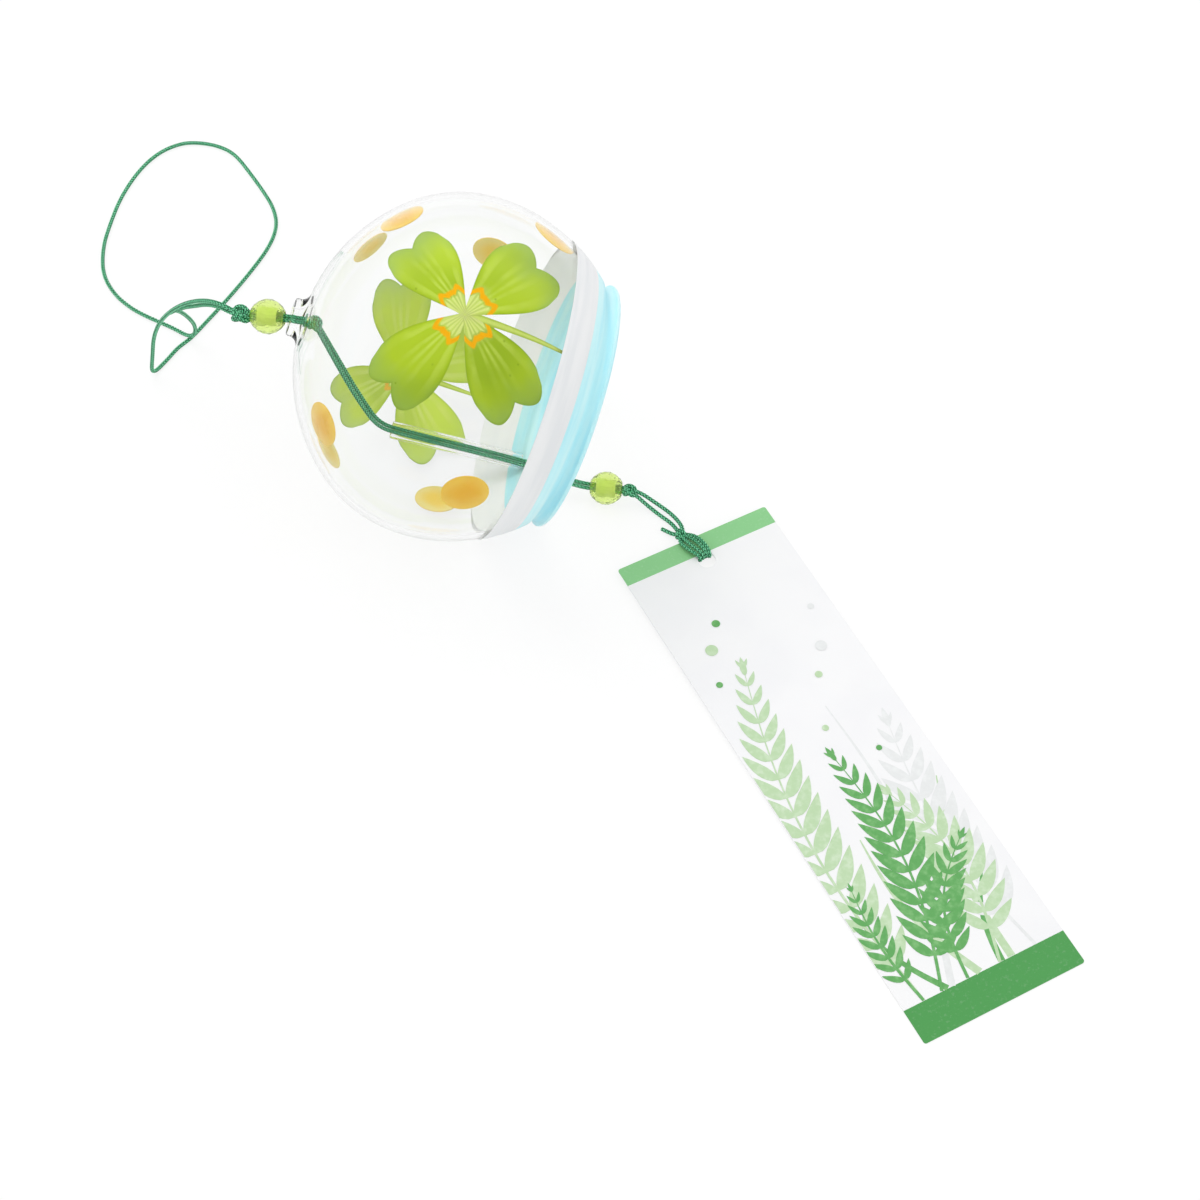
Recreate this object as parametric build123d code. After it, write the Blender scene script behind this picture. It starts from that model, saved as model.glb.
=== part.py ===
"""Glass wind bell with cord, beads, clapper tube and paper strip, lying on a table.

Lengths are in millimetres and angles in degrees. +Z is up from the table, and +X follows the
bell's heading, from its neck towards its mouth. The origin is on the table, under the middle of
the bell, the beads and the strip.
"""

import math
import os

from build123d import *

# Glass bell: an oblate globe with a short neck and a rolled lip
globe_diameter = 80.0
crown_height = 35.5
shoulder_radius = 32.0
wall = 1.4
neck_diameter = 8.8
neck_reach = 38.0
neck_hole_diameter = 4.4
neck_fillet = 2.0
neck_edge_round = 0.6
lip_depth = 30.7
lip_diameter = 58.0
lip_bead = 1.9
throat_depth = 28.2
throat_diameter = 55.6
globe_end_depth = 26.6

# How the bell lies
bell_x = -53.3
bell_y = 48.5
bell_tilt = 20.0
table_gap = 0.0

# Cord: one braided strand, doubled through the bell
cord_diameter = 1.1
strand_spacing = 1.2

# Knots
top_knot_diameter = 4.0
neck_knot_diameter = 5.2
lower_knot_diameter = 3.0
tie_knot_diameter = 3.0
knot_cross_angle = 38.0
knot_core_share = 0.84

# Faceted beads
bead_diameter = 8.0
bead_width = 7.6
bead_bore = 3.0
bead_sides = 8
bead_flat_share = 0.5
bead_end_share = 0.52

# Clapper tube of clear glass
tube_length = 32.3
tube_diameter = 4.2
tube_bore = 2.8
tube_edge_round = 0.3
tube_end_setback = 1.26

# Paper strip
strip_width = 40.0
strip_length = 135.0
strip_thickness = 0.3
strip_hole_diameter = 4.2
strip_hole_setback = 7.3
strip_heading = -55.83
strip_corner_x = -11.8
strip_corner_y = 23.1
strip_corner_round = 0.6
tie_lift = 1.25

# Cord routes, in the row frame: x, y, z
hanging_loop_route = [
    (-102.3, 49.2, 52.3),
    (-105.4, 50.5, 52.9),
    (-109.8, 52.9, 51.0),
    (-115.6, 56.8, 45.2),
    (-121.6, 61.5, 36.6),
    (-127.2, 66.2, 26.4),
    (-131.0, 69.5, 16.6),
    (-133.0, 71.3, 8.4),
    (-133.5, 71.5, 3.4),
    (-133.1, 72.2, 1.2),
    (-132.1, 74.0, 0.6),
    (-130.4, 78.0, 0.6),
    (-127.3, 84.9, 0.6),
    (-123.2, 92.6, 0.6),
    (-116.4, 106.4, 0.6),
    (-113.3, 116.6, 0.6),
    (-113.2, 125.8, 0.6),
    (-117.4, 135.2, 0.6),
    (-123.2, 143.2, 0.6),
    (-130.6, 150.6, 0.6),
    (-139.7, 153.0, 0.6),
    (-148.6, 147.2, 0.6),
    (-153.6, 137.0, 0.6),
    (-156.2, 124.0, 0.6),
    (-156.6, 112.0, 0.6),
    (-153.8, 101.8, 0.6),
    (-146.0, 93.6, 0.6),
    (-138.0, 89.5, 0.6),
    (-133.4, 88.0, 0.6),
    (-130.9, 86.6, 0.7),
    (-129.5, 85.0, 1.8),
    (-128.9, 83.2, 4.2),
    (-126.9, 79.4, 11.2),
    (-124.0, 72.4, 22.6),
    (-120.7, 64.9, 34.0),
    (-116.6, 58.2, 42.9),
    (-111.4, 52.9, 48.8),
    (-106.6, 49.4, 51.2),
    (-102.3, 47.9, 52.0),
]
neck_route = [
    (-97.9, 48.5, 52.2),
    (-89.6, 48.5, 52.2),
    (-85.3, 48.5, 51.65),
]
inner_route = [
    (-81.9, 48.5, 47.75),
    (-79.6, 48.5, 38.0),
    (-76.2, 48.5, 27.0),
    (-74.1, 48.5, 21.3),
    (-72.8, 48.5, 18.2),
    (-71.0, 48.5, 16.1),
    (-68.6, 48.5, 14.86),
    (-36.5, 48.5, 6.5),
    (-29.5, 47.0, 4.95),
    (-23.5, 45.15, 4.05),
    (-12.95, 45.0, 4.0),
]
tail_route_long = [
    (-9.3, 45.45, 3.5),
    (-5.2, 44.2, 1.4),
    (-1.2, 41.9, 0.75),
    (1.4, 39.3, 0.7),
    (2.55, 36.6, 1.2),
]
tail_route_short = [
    (-9.4, 44.2, 3.1),
    (-7.1, 43.1, 1.6),
    (-3.6, 40.9, 0.7),
    (-0.5, 38.8, 0.7),
    (1.2, 36.35, 1.2),
]
tie_tail_route = [
    (-2.7, 36.9, 0.65),
    (-1.2, 36.2, 0.65),
    (0.3, 35.2, 1.1),
]
# The tie's two turns, across and along the strip from its corner, and up from the table
tie_route_left = [
    (17.5, -0.35, 2.4),
    (18.2, 2.9, 2.8),
    (19.0, 6.2, 2.95),
    (19.3, 7.9, 2.5),
    (19.35, 8.1, 1.05),
    (19.2, 6.6, 0.6),
    (18.6, 3.4, 0.6),
    (17.9, 0.3, 0.62),
]
tie_route_right = [
    (18.9, -0.35, 2.4),
    (20.4, 2.3, 2.85),
    (21.0, 5.6, 2.95),
    (20.8, 7.6, 2.5),
    (20.75, 7.9, 1.05),
    (20.5, 6.4, 0.6),
    (19.9, 3.3, 0.6),
    (19.2, 0.3, 0.62),
]

# Hinge and bead places on the cord
top_knot_at = (-100.3, 48.5, 52.2)
lower_knot_at = (-11.2, 45.0, 3.8)
tie_knot_at = (2.0, 34.9, 1.6)
upper_bead_at = (-94.3, 48.5, 52.2)
lower_bead_at = (-16.9, 45.05, 4.0)
neck_knot_clearance = 0.3

globe_radius = globe_diameter / 2
bell_centre = Vector(bell_x, bell_y, globe_radius + table_gap)
bell_axis = Vector(math.cos(math.radians(bell_tilt)), 0, -math.sin(math.radians(bell_tilt)))
bell_frame = Plane(bell_centre, x_dir=(0, 1, 0), z_dir=-bell_axis)
neck_knot_at = bell_centre - bell_axis * (
    crown_height - wall - neck_knot_clearance - neck_knot_diameter / 2
)


def crown_arcs(inset):
    """Centres, radii and joining point of the two arcs above the globe's widest ring."""
    side_centre = globe_radius - shoulder_radius
    rise = crown_height - shoulder_radius
    drop = (side_centre**2 - rise**2) / (2 * rise)
    cap_radius = crown_height + drop
    reach = cap_radius - shoulder_radius
    join = Vector(
        side_centre / reach * (cap_radius - inset),
        drop / reach * (cap_radius - inset) - drop,
    )
    return side_centre, shoulder_radius - inset, drop, cap_radius - inset, join


def cap_height(drop, cap_radius, radius):
    """Height of the crown's cap at a radius from the axis."""
    return math.sqrt(cap_radius**2 - radius**2) - drop


def mid_of_arc(centre, radius, start, end):
    """The point halfway along the short arc between two points."""
    toward = (start + end) * (1 / 2) - centre
    return centre + toward.normalized() * radius


def arc_about(centre, radius, start, end):
    """Arc about a centre through two points."""
    return ThreePointArc(start, mid_of_arc(centre, radius, start, end), end)


def bell_profile():
    """Half section of the bell: radius from the axis against height towards the neck."""
    neck_radius = neck_diameter / 2
    hole_radius = neck_hole_diameter / 2
    side, side_radius, drop, cap_radius, join = crown_arcs(0)
    _, inner_side_radius, _, inner_cap_radius, inner_join = crown_arcs(wall)
    inner_radius = globe_radius - wall

    fillet_x = neck_radius + neck_fillet
    fillet_y = math.sqrt((cap_radius + neck_fillet) ** 2 - fillet_x**2) - drop
    fillet_centre = Vector(fillet_x, fillet_y)
    cap_centre = Vector(0, -drop)
    cap_end = cap_centre + (fillet_centre - cap_centre).normalized() * cap_radius
    fillet_end = Vector(neck_radius, fillet_y)
    neck_top = Vector(neck_radius, neck_reach)
    hole_top = Vector(hole_radius, neck_reach)
    hole_end = Vector(hole_radius, cap_height(drop, inner_cap_radius, hole_radius))
    widest = Vector(globe_radius, 0)
    inner_widest = Vector(inner_radius, 0)
    globe_end = Vector(math.sqrt(globe_radius**2 - globe_end_depth**2), -globe_end_depth)
    inner_end = Vector(math.sqrt(inner_radius**2 - globe_end_depth**2), -globe_end_depth)
    throat = Vector(throat_diameter / 2, -throat_depth)
    inner_throat = Vector(throat_diameter / 2 - wall, -throat_depth)
    lip_middle = Vector(lip_diameter / 2 - lip_bead / 2, lip_bead / 2 - lip_depth)
    lip_out = lip_middle + Vector(lip_bead / 2, 0)
    lip_low = lip_middle - Vector(0, lip_bead / 2)
    lip_in = lip_middle - Vector(lip_bead / 2, 0)

    outline = [
        arc_about(cap_centre, cap_radius, cap_end, join),
        arc_about(Vector(side, 0), side_radius, join, widest),
        arc_about(Vector(0, 0), globe_radius, widest, globe_end),
        ThreePointArc(globe_end, throat, lip_out),
        ThreePointArc(lip_out, lip_middle + Vector(lip_bead / 2, 0).rotate(Axis.Z, -45), lip_low),
        ThreePointArc(lip_low, lip_middle + Vector(lip_bead / 2, 0).rotate(Axis.Z, -135), lip_in),
        ThreePointArc(lip_in, inner_throat, inner_end),
        arc_about(Vector(0, 0), inner_radius, inner_end, inner_widest),
        arc_about(Vector(side, 0), inner_side_radius, inner_widest, inner_join),
        arc_about(cap_centre, inner_cap_radius, inner_join, hole_end),
        Line(hole_end, hole_top),
        Line(hole_top, neck_top),
        Line(neck_top, fillet_end),
        arc_about(fillet_centre, neck_fillet, fillet_end, cap_end),
    ]
    section = make_face(outline)
    tip_corners = section.vertices().group_by(Axis.Y)[-1]
    return fillet(tip_corners, neck_edge_round)


def glass_bell():
    """The bell, turned about its axis and laid on its side."""
    turned = revolve(Plane.XZ * bell_profile(), Axis.Z)
    return bell_frame * turned


def corner_radii(points):
    """Arc radii that use most of the shorter run at each corner of a route."""
    arc_share = 0.45
    radii = []
    for before, here, after in zip(points, points[1:], points[2:]):
        run_in = Vector(*here) - Vector(*before)
        run_out = Vector(*after) - Vector(*here)
        turn = math.radians(run_in.get_angle(run_out))
        shorter = min(run_in.length, run_out.length)
        radii.append(arc_share * shorter / math.tan(turn / 2))
    return radii


def cord(name, points):
    """Round cord along a route of straight runs and tangent arcs."""
    radii = corner_radii(points)
    path = FilletPolyline(*points, radius=radii)
    section = Plane(path @ 0, z_dir=path % 0) * Circle(cord_diameter / 2)
    tube = sweep(section, path=path)
    expected = math.pi * cord_diameter**2 / 4 * path.length
    tightest = sorted(round(radius, 1) for radius in radii)[:4]
    print(
        f"{name}: length {path.length:.1f}, tightest arcs {tightest},",
        f"volume over section times length {tube.volume / expected:.4f}",
    )
    return tube


def shifted(points, sideways):
    """A route moved sideways, for one strand of a doubled cord."""
    return [(x, y + sideways, z) for x, y, z in points]


def knot(place, diameter, along):
    """Small round knot: a core with two crossed turns of cord, none outside its diameter."""
    turn_radius = diameter / 2 - cord_diameter / 2
    shape = Sphere(diameter / 2 * knot_core_share)
    for lean in (knot_cross_angle, -knot_cross_angle):
        shape += Rot(lean, 0, 0) * Torus(turn_radius, cord_diameter / 2)
    return Plane(place, x_dir=(0, 1, 0), z_dir=along) * shape


def bead(place):
    """Faceted round bead, bored along X."""
    radius = bead_diameter / 2
    stations = [
        (-bead_width / 2, radius * bead_end_share),
        (-bead_width / 2 * bead_flat_share, radius),
        (bead_width / 2 * bead_flat_share, radius),
        (bead_width / 2, radius * bead_end_share),
    ]
    rings = [Pos(0, 0, height) * RegularPolygon(size, bead_sides) for height, size in stations]
    body = loft(rings, ruled=True)
    body -= Cylinder(bead_bore / 2, bead_width)
    return Plane(place, x_dir=(0, 1, 0), z_dir=(1, 0, 0)) * body


def clapper_tube():
    """Clear glass tube round the straight run of the inner cord, set from the run's lower end."""
    start, end = [Vector(*point) for point in inner_route[6:8]]
    along = (end - start).normalized()
    centre = end - along * (tube_end_setback + tube_length / 2)
    body = Cylinder(tube_diameter / 2, tube_length) - Cylinder(tube_bore / 2, tube_length)
    ends = body.edges().filter_by(GeomType.CIRCLE)
    body = fillet(ends, tube_edge_round)
    return Plane(centre, x_dir=(0, 1, 0), z_dir=along) * body


def strip_directions():
    """Level directions along the strip, away from its hole, and across it."""
    heading = math.radians(strip_heading)
    along = Vector(math.cos(heading), math.sin(heading), 0)
    across = Vector(-math.sin(heading), math.cos(heading), 0)
    return along, across


def strip_frame():
    """Plane of the strip's underside: X across it, Y from its far end up to its holed end."""
    along, across = strip_directions()
    slope = math.asin(tie_lift / (strip_length - strip_hole_setback))
    far_corner = Vector(strip_corner_x, strip_corner_y, 0) + along * strip_length
    uphill = Vector(0, 0, math.sin(slope)) - along * math.cos(slope)
    return Plane(far_corner, x_dir=across, z_dir=across.cross(uphill))


def paper_strip():
    """Card strip that catches the wind, its holed end resting on the tie."""
    sheet = Rectangle(strip_width, strip_length, align=(Align.MIN, Align.MIN))
    sheet = fillet(sheet.vertices(), strip_corner_round)
    hole_at = (strip_width / 2, strip_length - strip_hole_setback)
    sheet -= Pos(*hole_at) * Circle(strip_hole_diameter / 2)
    return strip_frame() * extrude(sheet, strip_thickness)


def tie_points(points):
    """A tie route, taken from the strip's corner to the table's frame."""
    along, across = strip_directions()
    corner = Vector(strip_corner_x, strip_corner_y, 0)
    places = [corner + across * a + along * b + Vector(0, 0, up) for a, b, up in points]
    return [tuple(place) for place in places]


def build_parts():
    """Every piece by its name."""
    half = strand_spacing / 2
    return {
        "hanging_loop": cord("hanging_loop", hanging_loop_route),
        "top_knot": knot(top_knot_at, top_knot_diameter, (1, 0, 0)),
        "neck_strand_far": cord("neck_strand_far", shifted(neck_route, half)),
        "neck_strand_near": cord("neck_strand_near", shifted(neck_route, -half)),
        "neck_knot": knot(neck_knot_at, neck_knot_diameter, bell_axis),
        "upper_bead": bead(upper_bead_at),
        "glass_bell": glass_bell(),
        "inner_strand_far": cord("inner_strand_far", shifted(inner_route, half)),
        "inner_strand_near": cord("inner_strand_near", shifted(inner_route, -half)),
        "clapper_tube": clapper_tube(),
        "lower_bead": bead(lower_bead_at),
        "lower_knot": knot(lower_knot_at, lower_knot_diameter, (1, 0, 0)),
        "tail_strand_long": cord("tail_strand_long", tail_route_long),
        "tail_strand_short": cord("tail_strand_short", tail_route_short),
        "tie_knot": knot(tie_knot_at, tie_knot_diameter, (1, 0, 0)),
        "tie_tail": cord("tie_tail", tie_tail_route),
        "tie_turn_left": cord("tie_turn_left", tie_points(tie_route_left)),
        "tie_turn_right": cord("tie_turn_right", tie_points(tie_route_right)),
        "paper_strip": paper_strip(),
    }


os.makedirs("parts", exist_ok=True)
for name, shape in build_parts().items():
    shape.label = name
    export_step(shape, f"parts/{name}.step")
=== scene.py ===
"""Dresses the glass wind bell: clear glass, enamel paint, braided cord, beads and a printed strip.

Pieces are modelled in millimetres in the part's own frame and scaled to metres once, at the end.
"""

import logging
import math
from collections.abc import Callable, Iterable, Sequence
from dataclasses import dataclass, field
from enum import Enum
from functools import cache, partial
from itertools import product
from typing import Any

import bmesh
import bpy
from mathutils import Matrix, Vector


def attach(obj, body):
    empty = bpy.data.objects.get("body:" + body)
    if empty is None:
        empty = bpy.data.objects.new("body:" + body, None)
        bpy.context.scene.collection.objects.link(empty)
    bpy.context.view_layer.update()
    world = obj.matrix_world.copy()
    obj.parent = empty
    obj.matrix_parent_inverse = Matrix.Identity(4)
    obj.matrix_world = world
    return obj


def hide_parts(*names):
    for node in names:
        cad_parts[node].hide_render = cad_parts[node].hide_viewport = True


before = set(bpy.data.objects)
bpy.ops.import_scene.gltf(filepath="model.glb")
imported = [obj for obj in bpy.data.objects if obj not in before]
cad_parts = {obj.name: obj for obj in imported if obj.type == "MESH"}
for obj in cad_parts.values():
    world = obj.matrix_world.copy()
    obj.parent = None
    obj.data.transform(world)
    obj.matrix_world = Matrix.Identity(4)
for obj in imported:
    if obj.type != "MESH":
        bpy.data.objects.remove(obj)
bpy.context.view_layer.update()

log = logging.getLogger("wind_bell")

MM = 0.001
FULL_TURN = 2 * math.pi
MERGE_REACH = 1e-4
SAME_PLACE = 1e-3
WHITE = (1.0, 1.0, 1.0, 1.0)
PAINT_UV = "paint"

Colour = tuple[float, float, float, float]
Axis = tuple[float, float, float]
Place = tuple[float, float]
Route = Sequence[tuple[float, float, float]]
Layout = Callable[[float, float], Place]
Line = Callable[[float], Vector]


def srgb(red: int, green: int, blue: int) -> Colour:
    """A screen colour as the linear colour that shaders take.

    Args:
        red: Red, from 0 to 255.
        green: Green, likewise.
        blue: Blue, likewise.

    Returns:
        The colour, opaque.
    """
    linear = []
    for channel in (red, green, blue):
        share = channel / 255
        linear.append(share / 12.92 if share <= 0.04045 else ((share + 0.055) / 1.055) ** 2.4)
    return (*linear, 1.0)


class Field:
    """A shader socket in an expression: each operator adds the Math node that it needs."""

    def __init__(self, bench: "NodeBench", socket: bpy.types.NodeSocket | None) -> None:
        """Wrap a socket of a bench's tree."""
        self.bench = bench
        self.socket = socket

    def maths(self, operation: str, *others: "Field | float") -> "Field":
        """A Math node with this socket first."""
        return self.bench.maths(operation, self, *others)

    def __add__(self, other: "Field | float") -> "Field":
        """Sum."""
        return self.maths("ADD", other)

    def __radd__(self, other: float) -> "Field":
        """Sum, number first."""
        return self.bench.maths("ADD", other, self)

    def __sub__(self, other: "Field | float") -> "Field":
        """Difference."""
        return self.maths("SUBTRACT", other)

    def __rsub__(self, other: float) -> "Field":
        """Difference, number first."""
        return self.bench.maths("SUBTRACT", other, self)

    def __mul__(self, other: "Field | float") -> "Field":
        """Product."""
        return self.maths("MULTIPLY", other)

    def __rmul__(self, other: float) -> "Field":
        """Product, number first."""
        return self.bench.maths("MULTIPLY", other, self)

    def __pow__(self, other: "Field | float") -> "Field":
        """Power."""
        return self.maths("POWER", other)

    def __abs__(self) -> "Field":
        """Size without sign."""
        return self.maths("ABSOLUTE")

    def spread(self, span: Place) -> "Field":
        """The span's first number, plus this times its second."""
        return span[0] + self * span[1]

    def step(self, start: float, end: float) -> "Field":
        """Smooth rise from 0 at start to 1 at end, or a fall where end is the smaller.

        Args:
            start: Value at which the result is 0.
            end: Value at which the result is 1.

        Returns:
            The eased share.
        """
        low, high = min(start, end), max(start, end)
        ends = (0.0, 1.0) if start < end else (1.0, 0.0)
        values = {"Value": self, "From Min": low, "From Max": high, "To Min": ends[0], "To Max": ends[1]}
        return self.bench.node("ShaderNodeMapRange", {"interpolation_type": "SMOOTHSTEP"}, values)


class NodeBench:
    """Adds nodes to one node tree."""

    def __init__(self, tree: bpy.types.NodeTree) -> None:
        """Clear the tree and keep it."""
        self.tree = tree
        tree.nodes.clear()

    def node(
        self,
        kind: str,
        settings: dict[str, Any] | None = None,
        values: dict[str | int, Any] | None = None,
        output: str | int = 0,
    ) -> Field:
        """Add a node, set it up, then fill its sockets.

        Args:
            kind: Node type.
            settings: Node properties, or a ramp's stops under "stops".
            values: Socket values, or fields to link, by socket name or place.
            output: The output to hand on.

        Returns:
            The chosen output, empty for a node that has none.
        """
        made = self.tree.nodes.new(kind)
        for name, setting in (settings or {}).items():
            if name == "stops":
                self._set_stops(made.color_ramp, setting)
            else:
                setattr(made, name, setting)
        for key, value in (values or {}).items():
            if isinstance(value, Field):
                self.tree.links.new(value.socket, made.inputs[key])
            else:
                made.inputs[key].default_value = value
        return Field(self, made.outputs[output] if made.outputs else None)

    @staticmethod
    def _set_stops(ramp: bpy.types.ColorRamp, stops: Sequence[tuple[float, Colour]]) -> None:
        """Give a new ramp its stops.

        Args:
            ramp: The ramp.
            stops: Place and colour of each stop, in order.
        """
        while len(ramp.elements) < len(stops):
            ramp.elements.new(1.0)
        for element, (place, colour) in zip(ramp.elements, stops):
            element.position = place
            element.color = colour

    def maths(self, operation: str, *terms: Field | float) -> Field:
        """A Math node of any operation."""
        return self.node("ShaderNodeMath", {"operation": operation}, dict(enumerate(terms)))

    def ramp(self, factor: Field, stops: Sequence[tuple[float, Colour]]) -> Field:
        """Colours along a factor."""
        return self.node("ShaderNodeValToRGB", {"stops": stops}, {"Fac": factor})

    def mix(self, factor: Field | float, first: Field | Colour, second: Field | Colour) -> Field:
        """Blend of two colours."""
        values = {0: factor, 6: first, 7: second}
        return self.node("ShaderNodeMix", {"data_type": "RGBA"}, values, 2)

    def object_place(self) -> Field:
        """The point's place in the part's frame, in metres."""
        return self.node("ShaderNodeTexCoord", output="Object")

    def vector_maths(self, operation: str, *terms: Any, output: str = "Vector") -> Field:
        """A Vector Math node of any operation."""
        return self.node("ShaderNodeVectorMath", {"operation": operation}, dict(enumerate(terms)), output)

    def paint_place(self) -> tuple[Field, Field]:
        """The two shares of the piece's own paint map."""
        spot = {"Vector": self.node("ShaderNodeUVMap", {"uv_map": PAINT_UV})}
        return tuple(self.node("ShaderNodeSeparateXYZ", None, spot, axis) for axis in ("X", "Y"))

    def noise(self, place: Field, scale: float, detail: float = 3.0) -> Field:
        """Soft noise from 0 to 1."""
        return self.node("ShaderNodeTexNoise", None, {"Vector": place, "Scale": scale, "Detail": detail})

    def bump(self, height: Field, strength: float, distance: float) -> Field:
        """Bumped normal from a height."""
        values = {"Height": height, "Strength": strength, "Distance": distance}
        return self.node("ShaderNodeBump", None, values)

    def principled(self, **values: Any) -> Field:
        """A Principled shader; socket names are written with _ for spaces."""
        named = {name.replace("_", " "): value for name, value in values.items()}
        return self.node("ShaderNodeBsdfPrincipled", None, named)

    def light_path(self, kind: str) -> Field:
        """What kind of ray sees the surface, or how deep it is."""
        return self.node("ShaderNodeLightPath", output=kind)

    def mix_shader(self, factor: Field, first: Field, second: Field) -> Field:
        """Blend of two shaders."""
        return self.node("ShaderNodeMixShader", None, {0: factor, 1: first, 2: second})

    def output(self, surface: Field, kind: str = "ShaderNodeOutputMaterial") -> None:
        """Send a shader to the tree's output."""
        self.node(kind, None, {"Surface": surface})


def lamp_clear(bench: NodeBench, surface: Field, tint: Colour) -> Field:
    """Let lamp light, in a tint, through a clear shader that eyes and mirrors see."""
    through = bench.node("ShaderNodeBsdfTransparent", None, {"Color": tint})
    return bench.mix_shader(bench.light_path("Is Shadow Ray"), surface, through)


def seen_rays(bench: NodeBench) -> Field:
    """1 for rays that show a backdrop: to the eye, in mirrors and through glass, not as light on paint.

    Args:
        bench: Where the nodes go.

    Returns:
        The mask.
    """
    kinds = ("Is Camera Ray", "Is Glossy Ray", "Is Transmission Ray", "Diffuse Depth")
    eye, mirror, glass, scattered = (bench.light_path(kind) for kind in kinds)
    return bench.maths("MINIMUM", eye + mirror + glass, 1.0) * scattered.maths("LESS_THAN", 0.5)


class Finish:
    """Base of all finishes: makes its material once and hands it out."""

    name: str

    def surface(self, bench: NodeBench) -> Field:
        """The finish's shader."""
        raise NotImplementedError

    @cache
    def material(self) -> bpy.types.Material:
        """The finish's material, made on first use.

        Returns:
            The material with its node tree filled.
        """
        made = bpy.data.materials.new(self.name)
        made.use_nodes = True
        bench = NodeBench(made.node_tree)
        bench.output(self.surface(bench))
        return made


@dataclass(frozen=True)
class ClearGlass(Finish):
    """Clear blown or drawn glass with a slight waviness."""

    name: str
    tint: Colour = (0.984, 0.988, 0.987, 1.0)
    lamp_tint: Colour = (0.965, 0.975, 0.972, 1.0)
    refraction: float = 1.22
    wave_scale: float = 45.0
    wave_height: float = 0.0003
    wave_strength: float = 0.12

    def surface(self, bench: NodeBench) -> Field:
        """Smooth glass with waves far apart.

        Args:
            bench: Where the nodes go.

        Returns:
            The shader.
        """
        waves = bench.noise(bench.object_place(), self.wave_scale, 1.0)
        glass = bench.principled(
            Base_Color=self.tint,
            Roughness=0.0,
            IOR=self.refraction,
            Transmission_Weight=1.0,
            Normal=bench.bump(waves, self.wave_strength, self.wave_height),
        )
        return lamp_clear(bench, glass, self.lamp_tint)


@dataclass(frozen=True)
class BeadAcrylic(Finish):
    """Clear lime acrylic with a faint cloud in it."""

    name: str = "bead_acrylic"
    pale: Colour = srgb(240, 252, 168)
    deep: Colour = srgb(220, 246, 124)
    lamp_tint: Colour = srgb(225, 246, 150)
    refraction: float = 1.49
    clearness: float = 0.9
    roughness: float = 0.03
    cloud_scale: float = 420.0

    def surface(self, bench: NodeBench) -> Field:
        """Tinted glass-like plastic.

        Args:
            bench: Where the nodes go.

        Returns:
            The shader.
        """
        cloud = bench.noise(bench.object_place(), self.cloud_scale)
        plastic = bench.principled(
            Base_Color=bench.mix(cloud, self.pale, self.deep),
            Roughness=self.roughness,
            IOR=self.refraction,
            Transmission_Weight=self.clearness,
        )
        return lamp_clear(bench, plastic, self.lamp_tint)


@dataclass(frozen=True)
class FrostedBore(Finish):
    """Drilled wall inside a bead, frosted by the drill."""

    name: str = "frosted_bore"
    pale: Colour = srgb(248, 252, 212)
    deep: Colour = srgb(238, 249, 184)
    scratch_scale: float = 900.0
    roughness: Place = (0.6, 0.2)
    relief: Place = (0.3, 0.0001)

    def surface(self, bench: NodeBench) -> Field:
        """Matt lime with fine scratches.

        Args:
            bench: Where the nodes go.

        Returns:
            The shader.
        """
        scratches = bench.noise(bench.object_place(), self.scratch_scale)
        return bench.principled(
            Base_Color=bench.mix(scratches, self.pale, self.deep),
            Roughness=scratches.spread(self.roughness),
            Normal=bench.bump(scratches, *self.relief),
        )


class Enamel(Finish):
    """Base of the paints on the glass: thin coats that let some light through."""

    gloss: float = 0.05
    glow: float = 0.6
    glow_reach: float = 0.0001
    glow_spread: Axis = (1.0, 1.0, 1.0)
    roughness: Place
    relief: Place

    def coat(self, bench: NodeBench, colour: Field, grain: Field, height: Field) -> Field:
        """One coat of the paint.

        Args:
            bench: Where the nodes go.
            colour: The paint's colour.
            grain: What makes it rougher.
            height: What stands up in it.

        Returns:
            The shader.
        """
        return bench.principled(
            Base_Color=colour,
            Roughness=grain.spread(self.roughness),
            Subsurface_Weight=self.glow,
            Subsurface_Radius=self.glow_spread,
            Subsurface_Scale=self.glow_reach,
            Specular_IOR_Level=self.gloss,
            Normal=bench.bump(height, *self.relief),
        )


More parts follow.
